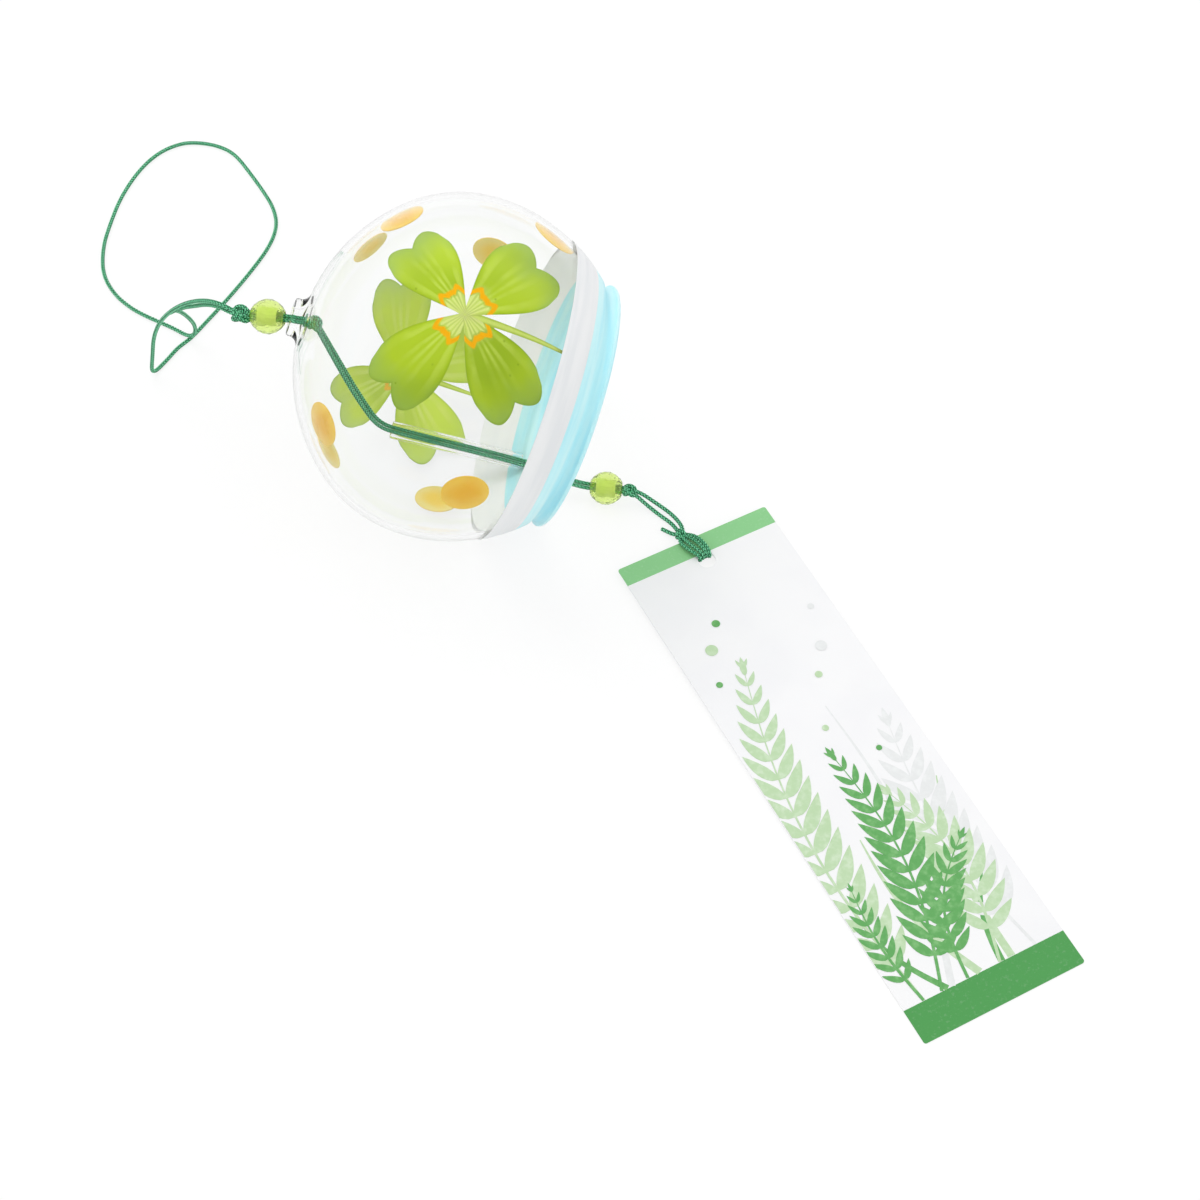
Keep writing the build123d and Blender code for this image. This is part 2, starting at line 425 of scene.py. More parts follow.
@dataclass(frozen=True)
class LeafEnamel(Enamel):
    """Leaf-green enamel: pale strokes, a dark rim, small bubbles and an orange scallop near the heart."""

    name: str
    heart: Colour
    middle: Colour
    tip: Colour
    vein: Colour
    rim: Colour
    scallop: Colour
    middle_span: Place = (0.3, 0.68)
    heart_share: float = 0.2
    heart_soft: float = 0.012
    strand_count: float = 5.0
    strand_span: Place = (-0.6, 0.4)
    strand_weight: Place = (0.2, 0.65)
    scallop_share: float = 0.085
    scallop_soft: float = 0.025
    scallop_bow: float = 0.013
    scallop_bows: float = 3.0
    scallop_waver: float = 0.3
    rim_share: float = 0.96
    rim_weight: float = 0.4
    vein_count: float = 3.5
    vein_span: Place = (0.2, 1.0)
    vein_fade: Place = (0.98, 0.3)
    vein_gaps: Place = (0.2, 0.6)
    vein_weight: float = 0.5
    vein_height: float = 0.4
    midrib_share: float = 0.12
    midrib_weight: float = 0.8
    cloud_scale: float = 160.0
    cloud_weight: float = 0.4
    bubble_scale: float = 190.0
    bubble_reach: float = 0.06
    bubble_weight: float = 0.6
    shade_scale: float = 55.0
    shade_span: Place = (0.42, 0.7)
    shade_weight: float = 0.45
    stroke_wander: float = 0.05
    glow_spread: Axis = (1.0, 1.0, 0.5)
    roughness: Place = (0.32, 0.15)
    relief: Place = (0.25, 0.0002)

    def surface(self, bench: NodeBench) -> Field:
        """Enamel whose brush strokes run along the leaf.

        Args:
            bench: Where the nodes go.

        Returns:
            The enamel's shader.
        """
        across, along = bench.paint_place()
        side = abs(across * 2.0 - 1.0)
        place = bench.object_place()
        cloud = bench.noise(place, self.cloud_scale)
        low, high = self.middle_span
        greens = [(0.0, self.heart), (low, self.middle), (high, self.middle), (1.0, self.tip)]
        colour = bench.ramp(along + (cloud - 0.5) * self.cloud_weight, greens)
        shade = bench.noise(place, self.shade_scale, 1.0).step(*self.shade_span)
        colour = bench.mix(shade * self.shade_weight, colour, self.rim)
        wander = (bench.noise(place, self.cloud_scale * 2) - 0.5) * self.stroke_wander
        streaks = ((across + wander) * (self.vein_count * FULL_TURN)).maths("SINE").step(*self.vein_span)
        midrib = side.step(self.midrib_share, 0.0) * self.midrib_weight
        veins = bench.maths("MAXIMUM", streaks * self.vein_weight, midrib) * along.step(*self.vein_fade)
        colour = bench.mix(veins * cloud.step(*self.vein_gaps), colour, self.vein)
        edge = bench.maths("MAXIMUM", side.step(self.rim_share, 1.0), along.step(self.rim_share, 1.0))
        colour = bench.mix(edge * self.rim_weight, colour, self.rim)
        cells = {"Vector": place, "Scale": self.bubble_scale}
        bubbles = bench.node("ShaderNodeTexVoronoi", None, cells, "Distance")
        bubbles = bubbles.step(self.bubble_reach, self.bubble_reach / 2)
        colour = bench.mix(bubbles * self.bubble_weight, colour, self.rim)
        bows = (side * (self.scallop_bows * math.pi)).maths("COSINE") * self.scallop_bow
        start = along - (bows + wander * self.scallop_waver) - self.heart_share
        strands = ((across + wander) * (self.strand_count * FULL_TURN)).maths("SINE")
        strands = strands.step(*self.strand_span).spread(self.strand_weight)
        colour = bench.mix(start.step(0.0, -self.heart_soft) * strands, colour, self.heart)
        outer = start.step(self.scallop_share, self.scallop_share - self.scallop_soft)
        colour = bench.mix(start.step(0.0, self.scallop_soft) * outer, colour, self.scallop)
        return self.coat(bench, colour, cloud, cloud + streaks * self.vein_height)


@dataclass(frozen=True)
class StemEnamel(Finish):
    """Thin yellow-green enamel in one brush stroke."""

    name: str = "stem_enamel"
    bright: Colour = srgb(216, 234, 120)
    shade: Colour = srgb(182, 208, 78)
    stroke_scale: float = 240.0
    stroke_weight: float = 0.6
    shade_span: Place = (0.2, 1.0)
    roughness: Place = (0.3, 0.15)
    gloss: float = 0.05

    def surface(self, bench: NodeBench) -> Field:
        """A stroke that is paler along its middle.

        Args:
            bench: Where the nodes go.

        Returns:
            The enamel's shader.
        """
        across, _ = bench.paint_place()
        cloud = bench.noise(bench.object_place(), self.stroke_scale)
        side = abs(across * 2.0 - 1.0) + (cloud - 0.5) * self.stroke_weight
        return bench.principled(
            Base_Color=bench.mix(side.step(*self.shade_span), self.bright, self.shade),
            Roughness=cloud.spread(self.roughness),
            Specular_IOR_Level=self.gloss,
        )


@dataclass(frozen=True)
class SpotEnamel(Enamel):
    """Amber enamel dropped on in a dot: deep in the middle, thin and pale at its edge."""

    name: str
    deep: Colour
    thin: Colour
    cloud_scale: float = 180.0
    cloud_weight: float = 0.7
    thin_span: Place = (0.25, 1.0)
    glow_spread: Axis = (1.0, 0.8, 0.4)
    roughness: Place = (0.22, 0.12)
    relief: Place = (0.2, 0.0002)

    def surface(self, bench: NodeBench) -> Field:
        """Amber that pales towards the edge.

        Args:
            bench: Where the nodes go.

        Returns:
            The enamel's shader.
        """
        across, along = bench.paint_place()
        reach = ((across * 2.0 - 1.0) ** 2.0 + (along * 2.0 - 1.0) ** 2.0) ** 0.5
        cloud = bench.noise(bench.object_place(), self.cloud_scale)
        thinness = (reach + (cloud - 0.5) * self.cloud_weight).step(*self.thin_span)
        return self.coat(bench, bench.mix(thinness, self.deep, self.thin), cloud, cloud)


@dataclass(frozen=True)
class BandEnamel(Enamel):
    """Enamel brushed round the bell, with streaks that follow the brush."""

    name: str
    base: Colour
    streak: Colour
    axis: Axis
    streak_stretch: float = 14.0
    streak_scale: float = 38.0
    streak_span: Place = (0.3, 0.72)
    roughness: Place = (0.32, 0.2)
    relief: Place = (0.15, 0.0001)
    gloss: float = 0.1

    def surface(self, bench: NodeBench) -> Field:
        """Streaks squeezed along the bell's axis.

        Args:
            bench: Where the nodes go.

        Returns:
            The enamel's shader.
        """
        place = bench.object_place()
        depth = bench.vector_maths("DOT_PRODUCT", place, self.axis, output="Value")
        stretch = {0: self.axis, "Scale": depth * self.streak_stretch}
        squeeze = bench.node("ShaderNodeVectorMath", {"operation": "SCALE"}, stretch, "Vector")
        strokes = bench.noise(bench.vector_maths("ADD", place, squeeze), self.streak_scale, 4.0)
        colour = bench.mix(strokes.step(*self.streak_span), self.base, self.streak)
        return self.coat(bench, colour, strokes, strokes)


@dataclass(frozen=True)
class BraidFibre(Finish):
    """One carrier yarn of the braid: smooth filament."""

    name: str
    base: Colour
    shade: Colour
    fibre_scale: float = 2600.0
    fibre_span: Place = (0.3, 0.7)
    roughness: Place = (0.42, 0.2)
    relief: Place = (0.4, 0.00006)

    def surface(self, bench: NodeBench) -> Field:
        """Filament yarn with fine light and dark fibres.

        Args:
            bench: Where the nodes go.

        Returns:
            The shader.
        """
        fibres = bench.noise(bench.object_place(), self.fibre_scale, 2.0)
        return bench.principled(
            Base_Color=bench.mix(fibres.step(*self.fibre_span), self.base, self.shade),
            Roughness=fibres.spread(self.roughness),
            Normal=bench.bump(fibres, *self.relief),
        )


@dataclass(frozen=True)
class PrintedCard(Finish):
    """White card with a printed band at each end; its lengths are in metres."""

    name: str
    uphill: Axis
    far_end: float
    length: float
    top_band: float
    foot_band: float
    card: Colour = srgb(241, 241, 242)
    card_shade: Colour = srgb(238, 238, 240)
    top_ink: Colour = srgb(137, 201, 138)
    foot_ink: Colour = srgb(76, 156, 80)
    fibre_scale: float = 1500.0
    cloud_scale: float = 60.0
    cloud_span: Place = (0.35, 0.75)
    edge_waver: float = 0.05 * MM
    wear_span: Place = (0.55, 0.75)
    wear_weight: float = 0.07
    roughness: Place = (0.55, 0.1)
    ink_gloss: float = 0.12
    relief: Place = (0.12, 0.00004)

    def surface(self, bench: NodeBench) -> Field:
        """Card fibres under a flat ink.

        Args:
            bench: Where the nodes go.

        Returns:
            The card's shader.
        """
        place = bench.object_place()
        up = bench.vector_maths("DOT_PRODUCT", place, self.uphill, output="Value") - self.far_end
        fibres = bench.noise(place, self.fibre_scale, 4.0)
        cloud = bench.noise(place, self.cloud_scale, 2.0)
        colour = bench.mix(cloud.step(*self.cloud_span), self.card, self.card_shade)
        up = up + (fibres - 0.5) * self.edge_waver
        foot = up.maths("LESS_THAN", self.foot_band)
        top = up.maths("GREATER_THAN", self.length - self.top_band)
        ink = bench.maths("MAXIMUM", foot, top)
        colour = bench.mix(foot, colour, self.foot_ink)
        colour = bench.mix(top, colour, self.top_ink)
        wear = ink * fibres.step(*self.wear_span) * self.wear_weight
        return bench.principled(
            Base_Color=bench.mix(wear, colour, self.card),
            Roughness=fibres.spread(self.roughness) - ink * self.ink_gloss,
            Normal=bench.bump(fibres, *self.relief),
        )


@dataclass(frozen=True)
class PrintInk(Finish):
    """Flat ink printed on card, a little uneven."""

    name: str
    ink: Colour
    thin: Colour
    mottle_scale: float = 700.0
    mottle_span: Place = (0.4, 0.8)
    roughness: Place = (0.42, 0.15)

    def surface(self, bench: NodeBench) -> Field:
        """Ink that thins out in fine mottles.

        Args:
            bench: Where the nodes go.

        Returns:
            The shader.
        """
        mottle = bench.noise(bench.object_place(), self.mottle_scale)
        return bench.principled(
            Base_Color=bench.mix(mottle.step(*self.mottle_span), self.ink, self.thin),
            Roughness=mottle.spread(self.roughness),
        )


@dataclass(frozen=True)
class StudioFloor(Finish):
    """Pale floor that looks white to eyes, mirrors and glass, and keeps the object's shadow."""

    name: str = "studio_floor"
    paint: Colour = (0.9, 0.9, 0.9, 1.0)
    glow: float = 1.02
    glow_share: float = 0.8

    def surface(self, bench: NodeBench) -> Field:
        """Matt paint mixed with its own white.

        Args:
            bench: Where the nodes go.

        Returns:
            The floor's shader.
        """
        matt = bench.node("ShaderNodeBsdfDiffuse", None, {"Color": self.paint})
        white = bench.node("ShaderNodeEmission", None, {"Strength": self.glow})
        return bench.mix_shader(seen_rays(bench) * self.glow_share, matt, white)


def settle_faces(bm: bmesh.types.BMesh) -> None:
    """Point a closed model's faces outwards, and put its corners and faces in order of place.

    Mesh operators that grow or turn faces add them in an order that changes from run to run.

    Args:
        bm: The model.
    """
    bmesh.ops.recalc_face_normals(bm, faces=bm.faces)
    for index, corner in enumerate(sorted(bm.verts, key=lambda corner: tuple(corner.co))):
        corner.index = index
    bm.verts.sort()
    for index, face in enumerate(sorted(bm.faces, key=lambda face: tuple(face.calc_center_median()))):
        face.index = index
    bm.faces.sort()


def make_piece(
    name: str, bm: bmesh.types.BMesh, finishes: Iterable[Finish], crease: float = math.radians(40)
) -> bpy.types.Object:
    """Scale a model from millimetres to metres and make it a piece of the scene.

    Args:
        name: The piece's name.
        bm: The model; it is freed.
        finishes: Finishes, by the model's material places.
        crease: Angle from which an edge is shaded sharp; 0 leaves every face flat.

    Returns:
        The piece.
    """
    bmesh.ops.scale(bm, vec=(MM, MM, MM), verts=bm.verts)
    for face in bm.faces:
        face.smooth = crease > 0
    mesh = bpy.data.meshes.new(name)
    bm.to_mesh(mesh)
    bm.free()
    if crease > 0:
        mesh.set_sharp_from_angle(angle=crease)
    for finish in finishes:
        mesh.materials.append(finish.material())
    piece = bpy.data.objects.new(name, mesh)
    bpy.context.scene.collection.objects.link(piece)
    return piece


def seat(piece: bpy.types.Object, body: str, slot: str | None, *nodes: str) -> bpy.types.Object:
    """Seat a piece on its body, hide the CAD nodes that it stands for, and log it.

    Args:
        piece: The finished piece.
        body: Body that it rides on.
        slot: Not used.
        nodes: CAD nodes that it replaces.

    Returns:
        The piece.
    """
    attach(piece, body)
    if nodes:
        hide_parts(*nodes)
    log.info("%s rides on %s, %d faces", piece.name, body, len(piece.data.polygons))
    return piece


def arc_points(start: Vector, middle: Vector, end: Vector, steps: int) -> list[Vector]:
    """Points along the arc through three points of a section, without its end.

    Args:
        start: First point.
        middle: A point between.
        end: Last point, left out of the result.
        steps: How many parts the arc has.

    Returns:
        The points, in order.
    """
    first, second = middle - start, end - start
    cross = 2 * (first.x * second.y - first.y * second.x)
    centre = start + Vector((
        (second.y * first.length_squared - first.y * second.length_squared) / cross,
        (first.x * second.length_squared - second.x * first.length_squared) / cross,
    ))
    spoke = start - centre
    sweep = spoke.angle_signed(middle - centre) + (middle - centre).angle_signed(end - centre)
    # angle_signed counts clockwise turns, Matrix.Rotation the other way.
    turns = [Matrix.Rotation(-sweep * step / steps, 2) for step in range(steps)]
    return [centre + turn @ spoke for turn in turns]


def turned_about(points: Sequence[Vector], place: Callable[[Vector], Vector], centre: Vector,
                 axis: Vector, steps: int) -> bmesh.types.BMesh:
    """Turn a closed section about an axis.

    Args:
        points: Corners of the section, as radius and height.
        place: Takes a corner to the part's frame.
        centre: A point on the axis.
        axis: The axis.
        steps: Faces in a full turn.

    Returns:
        The turned solid.
    """
    bm = bmesh.new()
    corners = [bm.verts.new(place(point)) for point in points]
    ring = [bm.edges.new(pair) for pair in zip(corners, corners[1:] + corners[:1])]
    bmesh.ops.spin(
        bm, geom=corners + ring, cent=centre, axis=axis, angle=FULL_TURN, steps=steps, use_merge=True
    )
    bmesh.ops.remove_doubles(bm, verts=bm.verts, dist=MERGE_REACH)
    settle_faces(bm)
    return bm


def flat_grid(
    bm: bmesh.types.BMesh, columns: int, rows: int
) -> tuple[dict[bmesh.types.BMVert, Place], list[bmesh.types.BMFace]]:
    """Add a flat grid, to be laid out on a surface.

    Args:
        bm: Model that gets the grid.
        columns: Faces across.
        rows: Faces along.

    Returns:
        Each corner's share across (-1 to 1) and along (0 to 1), and the faces.
    """
    corners = bmesh.ops.create_grid(bm, x_segments=columns, y_segments=rows, size=1.0)["verts"]
    shares = {corner: (corner.co.x, corner.co.y / 2 + 0.5) for corner in corners}
    return shares, list(dict.fromkeys(face for corner in corners for face in corner.link_faces))


def disc_point(radius: float, across: float, along: float) -> Place:
    """A round spot's point: a grid's share across and along, drawn in to a disc about 0, 0."""
    x, y = across, along * 2 - 1
    return radius * x * math.sqrt(1 - y * y / 2), radius * y * math.sqrt(1 - x * x / 2)


@dataclass(frozen=True)
class BellShape:
    """The bell's section and how the bell lies, in millimetres."""

    globe_radius: float = 40.0
    crown_height: float = 35.5
    shoulder_radius: float = 32.0
    wall: float = 1.4
    neck_radius: float = 4.4
    neck_reach: float = 38.0
    hole_radius: float = 1.9
    neck_fillet: float = 2.0
    fillet_lean: float = math.radians(40.0)
    flare_belly: float = 0.45
    edge_round: float = 0.6
    lip_depth: float = 30.7
    lip_radius: float = 29.0
    lip_bead: float = 1.45
    throat_depth: float = 28.2
    throat_radius: float = 27.8
    globe_end_depth: float = 26.6
    long_arc: int = 8
    centre: Vector = Vector((-53.3, 48.5, 40.0))
    tilt: float = math.radians(20.0)

    @property
    def axis(self) -> Vector:
        """From the neck to the mouth."""
        return Vector((math.cos(self.tilt), 0.0, -math.sin(self.tilt)))

    @property
    def upright(self) -> Vector:
        """Across the axis, away from the table."""
        return Vector((math.sin(self.tilt), 0.0, math.cos(self.tilt)))

    @property
    def side_centre(self) -> float:
        """How far the shoulder arc's centre lies from the axis."""
        return self.globe_radius - self.shoulder_radius

    @property
    def cap_drop(self) -> float:
        """How far the crown cap's centre lies below the widest ring."""
        rise = self.crown_height - self.shoulder_radius
        return (self.side_centre**2 - rise**2) / (2 * rise)

    def place(self, point: Vector) -> Vector:
        """A section's point, radius and height towards the neck, in the part's frame."""
        return self.centre + self.upright * point.x - self.axis * point.y

    def wall_radius(self, polar: float, inset: float) -> float:
        """Distance from the globe's centre to its wall.

        Args:
            polar: Angle from the neck's direction.
            inset: How far inside the outer face.

        Returns:
            The distance.
        """
        rise, out = math.cos(polar), math.sin(polar)
        if rise <= 0:
            return self.globe_radius - inset
        side, drop = self.side_centre, self.cap_drop
        reach = side * out + math.sqrt((self.shoulder_radius - inset) ** 2 - (side * rise) ** 2)
        # Beyond the line through both arcs' centres, the crown cap takes over from the shoulder.
        if reach * out * drop >= side * (reach * rise + drop):
            return reach
        cap = self.crown_height + drop - inset
        return math.sqrt(cap**2 - (drop * out) ** 2) - drop * rise

    def direction(self, turn: float, polar: float) -> Vector:
        """A direction from the globe's centre.

        Args:
            turn: Degrees about the axis, from upright.
            polar: Degrees from the neck's direction.

        Returns:
            The direction, of length 1.
        """
        turn, polar = math.radians(turn), math.radians(polar)
        around = self.upright * math.cos(turn) + Vector((0.0, math.sin(turn), 0.0))
        return around * math.sin(polar) - self.axis * math.cos(polar)

    def on_wall(self, direction: Vector, inset: float) -> Vector:
        """The wall's point in a direction from the globe's centre."""
        polar = direction.angle(-self.axis)
        return self.centre + direction * self.wall_radius(polar, inset)

    def wall_line(self, start: float, end: float, inset: float, steps: int) -> list[Vector]:
        """Section points along the wall between two polar angles.

        Args:
            start: First angle.
            end: Last angle.
            inset: How far inside the outer face.
            steps: Parts of the line.

        Returns:
            The points, both ends included.
        """
        angles = [start + (end - start) * step / steps for step in range(steps + 1)]
        reach = [self.wall_radius(angle, inset) for angle in angles]
        return [Vector((r * math.sin(a), r * math.cos(a))) for a, r in zip(angles, reach)]

    def mouth_lines(self, steps: int) -> tuple[list[Vector], list[Vector], list[Vector]]:
        """Outer throat, lip and inner throat, each from its first point up to the next one's.

        Args:
            steps: Parts in each arc.

        Returns:
            The three stretches of the section.
        """
        inner = self.globe_radius - self.wall
        depth = self.globe_end_depth
        bead = self.lip_bead / 2
        globe_end = Vector((math.sqrt(self.globe_radius**2 - depth**2), -depth))
        inner_end = Vector((math.sqrt(inner**2 - depth**2), -depth))
        middle = Vector((self.lip_radius - bead, bead - self.lip_depth))
        out, low, back = (middle + Vector(way) * bead for way in ((1, 0), (0, -1), (-1, 0)))
        throat = Vector((self.throat_radius, -self.throat_depth))
        inner_throat = throat - Vector((self.wall, 0))
        return (
            arc_points(globe_end, throat, out, steps),
            arc_points(out, low, back, steps * 2),
            arc_points(back, inner_throat, inner_end, steps),
        )

    @property
    def fillet_centre(self) -> Vector:
        """Centre of the rounding between neck and crown, in the section."""
        out, cap = self.neck_radius + self.neck_fillet, self.crown_height + self.cap_drop
        return Vector((out, math.sqrt((cap + self.neck_fillet) ** 2 - out**2) - self.cap_drop))

    def rounding(self, inset: float, belly: float) -> tuple[float, Vector, Vector]:
        """Where one face of the glass rounds off from the crown towards the neck.

        Args:
            inset: How far inside the outer face.
            belly: How much further than that the rounding's middle stands back.

        Returns:
            Polar angle of its foot on the crown, the foot, and its middle.
        """
        centre = self.fillet_centre
        cap = self.crown_height + self.cap_drop - inset
        polar = math.atan2(centre.x * cap, centre.y * cap - self.cap_drop * (self.neck_fillet + inset))
        lean = Vector((math.cos(self.fillet_lean), math.sin(self.fillet_lean)))
        foot = self.wall_line(polar, polar, inset, 1)[0]
        return polar, foot, centre - lean * (self.neck_fillet + inset + belly)

    def section(self, steps: int) -> list[Vector]:
        """Closed half section of the glass.

        Args:
            steps: Parts in a small arc; long arcs have more.

        Returns:
            Corners as radius and height towards the neck.
        """
        start = self.fillet_centre.y
        cap_polar, cap_foot, cap_middle = self.rounding(0.0, 0.0)
        flare_polar, flare_foot, flare_middle = self.rounding(self.wall, self.flare_belly)
        end_polar = math.acos(-self.globe_end_depth / self.globe_radius)
        inner_polar = math.acos(-self.globe_end_depth / (self.globe_radius - self.wall))
        throat, lip, inner_throat = self.mouth_lines(steps)
        long_steps = steps * self.long_arc
        tip, round_off = self.neck_reach, self.edge_round
        soft = round_off * (1 - math.sqrt(0.5))
        return [
            Vector((self.hole_radius, tip - round_off)),
            Vector((self.hole_radius + soft, tip - soft)),
            Vector((self.hole_radius + round_off, tip)),
            Vector((self.neck_radius - round_off, tip)),
            Vector((self.neck_radius - soft, tip - soft)),
            Vector((self.neck_radius, tip - round_off)),
            *arc_points(Vector((self.neck_radius, start)), cap_middle, cap_foot, steps),
            *self.wall_line(cap_polar, end_polar, 0.0, long_steps)[:-1],
            *throat,
            *lip,
            *inner_throat,
            *self.wall_line(inner_polar, flare_polar, self.wall, long_steps)[:-1],
            *arc_points(flare_foot, flare_middle, Vector((self.hole_radius, start)), steps),
        ]


@dataclass
class GlassBell:
    """The blown-glass globe with its neck and rolled lip."""

    shape: BellShape
    turn_steps: int = 144
    arc_steps: int = 10
    finish: ClearGlass = ClearGlass("blown_glass")

    def build(self) -> bpy.types.Object:
        """Turn the section about the bell's axis and dress it.

        Returns:
            The piece.
        """
        shape = self.shape
        section = shape.section(self.arc_steps)
        bm = turned_about(section, shape.place, shape.centre, shape.axis, self.turn_steps)
        piece = make_piece("bell_glass_shell", bm, [self.finish])
        return seat(piece, "bell", "bell_glass", "glass_bell")


@dataclass
class LeafOutline:
    """A heart-shaped leaf drawn flat, from its foot at the clover's heart, in millimetres."""

    foot: float = 0.2
    shoulder: float = 18.2
    half_width: float = 8.3
    foot_width: float = 0.7
    lobe_reach: float = 25.2
    notch_reach: float = 22.2
    notch_power: float = 1.9
    lobe_share: float = 0.58
    belly: float = 1.12

    def at(self, across: float, along: float) -> Place:
        """A point of the leaf.

        Args:
            across: From -1 at one edge to 1 at the other.
            along: From 0 at the foot to 1 at the outer edge.

        Returns:
            Sideways and outward place.
        """
        side = abs(across)
        if side > self.lobe_share:
            bulge = (side - self.lobe_share) / (1 - self.lobe_share)
            rise = math.sqrt(max(0.0, 1 - bulge**2))
        else:
            dip = (self.lobe_reach - self.notch_reach) / (self.lobe_reach - self.shoulder)
            rise = 1 - dip * ((self.lobe_share - side) / self.lobe_share) ** self.notch_power
        top = self.shoulder + (self.lobe_reach - self.shoulder) * rise
        swell = math.sin(math.pi / 2 * along**self.belly)
        width = self.foot_width + (self.half_width - self.foot_width) * swell
        return across * width, self.foot + (top - self.foot) * along


@dataclass(frozen=True)
class CloverPlace:
    """Where a clover lies on the wall and how it is drawn; angles are in degrees."""

    name: str
    turn: float
    polar: float
    twist: float
    stem_share: float
    leaf_turns: tuple[float, ...]


@dataclass
class PaintedFigures:
    """Clovers and gold spots in enamel on the bell's inner wall."""

    shape: BellShape
    gap: float = 0.05
    thickness: float = 0.16
    leaf_grid: tuple[int, int] = (28, 24)
    stem_grid: tuple[int, int] = (2, 24)
    spot_grid: tuple[int, int] = (14, 14)
    leaf: LeafOutline = field(default_factory=LeafOutline)
    leaf_scales: tuple[float, ...] = (0.97, 0.97, 0.98, 0.99)
    leaf_widths: tuple[float, ...] = (0.94, 1.08, 1.0, 1.0)
    coat_step: float = 0.012
    stem_start: float = -1.0
    stem_end: float = 26.4
    stem_wide: float = 1.0
    stem_fine: float = 0.32
    stem_bow: float = -0.1
    spot_radius: float = 5.3
    clover_places: tuple[CloverPlace, ...] = (
        CloverPlace("front_clover", -22.3, 82.2, 0.0, 1.0, (-47.0, 37.0, 133.0, -146.0)),
        CloverPlace("back_clover", 146.4, 81.7, -3.0, 0.8, (-45.0, 39.0, 127.0, -152.0)),
    )
    spot_places: tuple[Place, ...] = (
        (28.4, 54.4), (28.9, 107.9), (85.7, 46.4), (89.8, 97.8),
        (-156.6, 56.2), (-162.1, 103.7), (-92.1, 45.6), (-81.6, 101.1),
    )

    def wrap(self, heart: Vector, spot: Place, inset: float) -> Vector:
        """Lay a flat point about a heart on the wall.

        Args:
            heart: Direction of the figure's middle from the globe's centre.
            spot: Flat place, across and towards the mouth.
            inset: How far inside the outer face.

        Returns:
            The point in the part's frame.
        """
        axis = self.shape.axis
        mouthward = (axis - heart * axis.dot(heart)).normalized()
        sideways = heart.cross(mouthward)
        reach = math.hypot(*spot)
        if not reach:
            return self.shape.on_wall(heart, inset)
        angle = reach / (self.shape.globe_radius - self.shape.wall)
        way = (sideways * spot[0] + mouthward * spot[1]) / reach
        return self.shape.on_wall(heart * math.cos(angle) + way * math.sin(angle), inset)

    def patch(self, bm: bmesh.types.BMesh, heart: Vector, grid: tuple[int, int], layout: Layout,
              finish: int, coat: int = 0) -> None:
        """Add one coat of paint: a grid laid out flat, wrapped on the wall and thickened inwards.

        Args:
            bm: Model that gets the coat.
            heart: Direction of the figure's middle.
            grid: Faces across and along.
            layout: Takes across (-1 to 1) and along (0 to 1) to a flat place.
            finish: Material place of the outer face; the inner face has the next.
            coat: How many coats lie under it.
        """
        paint = bm.loops.layers.uv.get(PAINT_UV) or bm.loops.layers.uv.new(PAINT_UV)
        shares, faces = flat_grid(bm, *grid)
        for face in faces:
            face.material_index = finish
            for loop in face.loops:
                across, along = shares[loop.vert]
                loop[paint].uv = (across / 2 + 0.5, along)
        outer = self.shape.wall + self.gap + coat * self.coat_step
        for corner, share in shares.items():
            corner.co = self.wrap(heart, layout(*share), outer)
        grown = bmesh.ops.extrude_face_region(bm, geom=faces, use_keep_orig=True)["geom"]
        for item in grown:
            if isinstance(item, bmesh.types.BMVert):
                inward = (self.shape.centre - item.co).normalized()
                item.co += inward * self.thickness
            elif isinstance(item, bmesh.types.BMFace):
                item.material_index = finish + 1

    def leaf_point(self, turn: float, scale: float, width: float, across: float, along: float) -> Place:
        """A leaf's point, turned about the clover's heart.

        Args:
            turn: Direction of the leaf's middle, in degrees.
            scale: Size against the drawn leaf.
            width: Width against the drawn leaf's, besides.
            across: From -1 at one edge to 1 at the other.
            along: From 0 at the foot to 1 at the outer edge.

        Returns:
            The flat place.
        """
        sine, cosine = math.sin(math.radians(turn)), math.cos(math.radians(turn))
        side, out = (size * scale for size in self.leaf.at(across, along))
        side *= width
        return out * cosine - side * sine, out * sine + side * cosine

    def stem_point(self, twist: float, length: float, across: float, along: float) -> Place:
        """A point of the stem, which runs towards the mouth.

        Args:
            twist: Degrees that the clover is turned by.
            length: Length against the drawn stem's.
            across: From -1 at one edge to 1 at the other.
            along: From 0 at the heart to 1 at the end.

        Returns:
            The flat place.
        """
        width = self.stem_wide + (self.stem_fine - self.stem_wide) * along
        bow = self.stem_bow * math.sin(math.pi * along)
        out = self.stem_start + (self.stem_end * length - self.stem_start) * along
        return tuple(Matrix.Rotation(math.radians(twist), 2) @ Vector((across * width + bow, out)))

    @staticmethod
    def clover_finishes() -> list[Finish]:
        """Paint on the faces seen through the glass, and a brighter copy, painted light, on the faces
        seen from inside.

        Returns:
            Outer faces and brightened inner faces of a leaf, then outer and inner faces of a stem.
        """
        outer = LeafEnamel(
            "leaf_enamel", srgb(224, 234, 146), srgb(184, 210, 50), srgb(166, 196, 88),
            srgb(212, 230, 104), srgb(126, 160, 34), srgb(246, 184, 20),
        )
        # The inner faces take a paler, brighter copy of the leaf enamel: painted light that makes up for
        # the light lost inside the bell.
        inner = LeafEnamel(
            "leaf_enamel_back_brightened", srgb(230, 240, 156), srgb(216, 234, 104), srgb(204, 224, 134),
            srgb(230, 240, 156), srgb(170, 196, 94), srgb(240, 196, 90),
        )
        return [outer, inner, StemEnamel(), StemEnamel()]

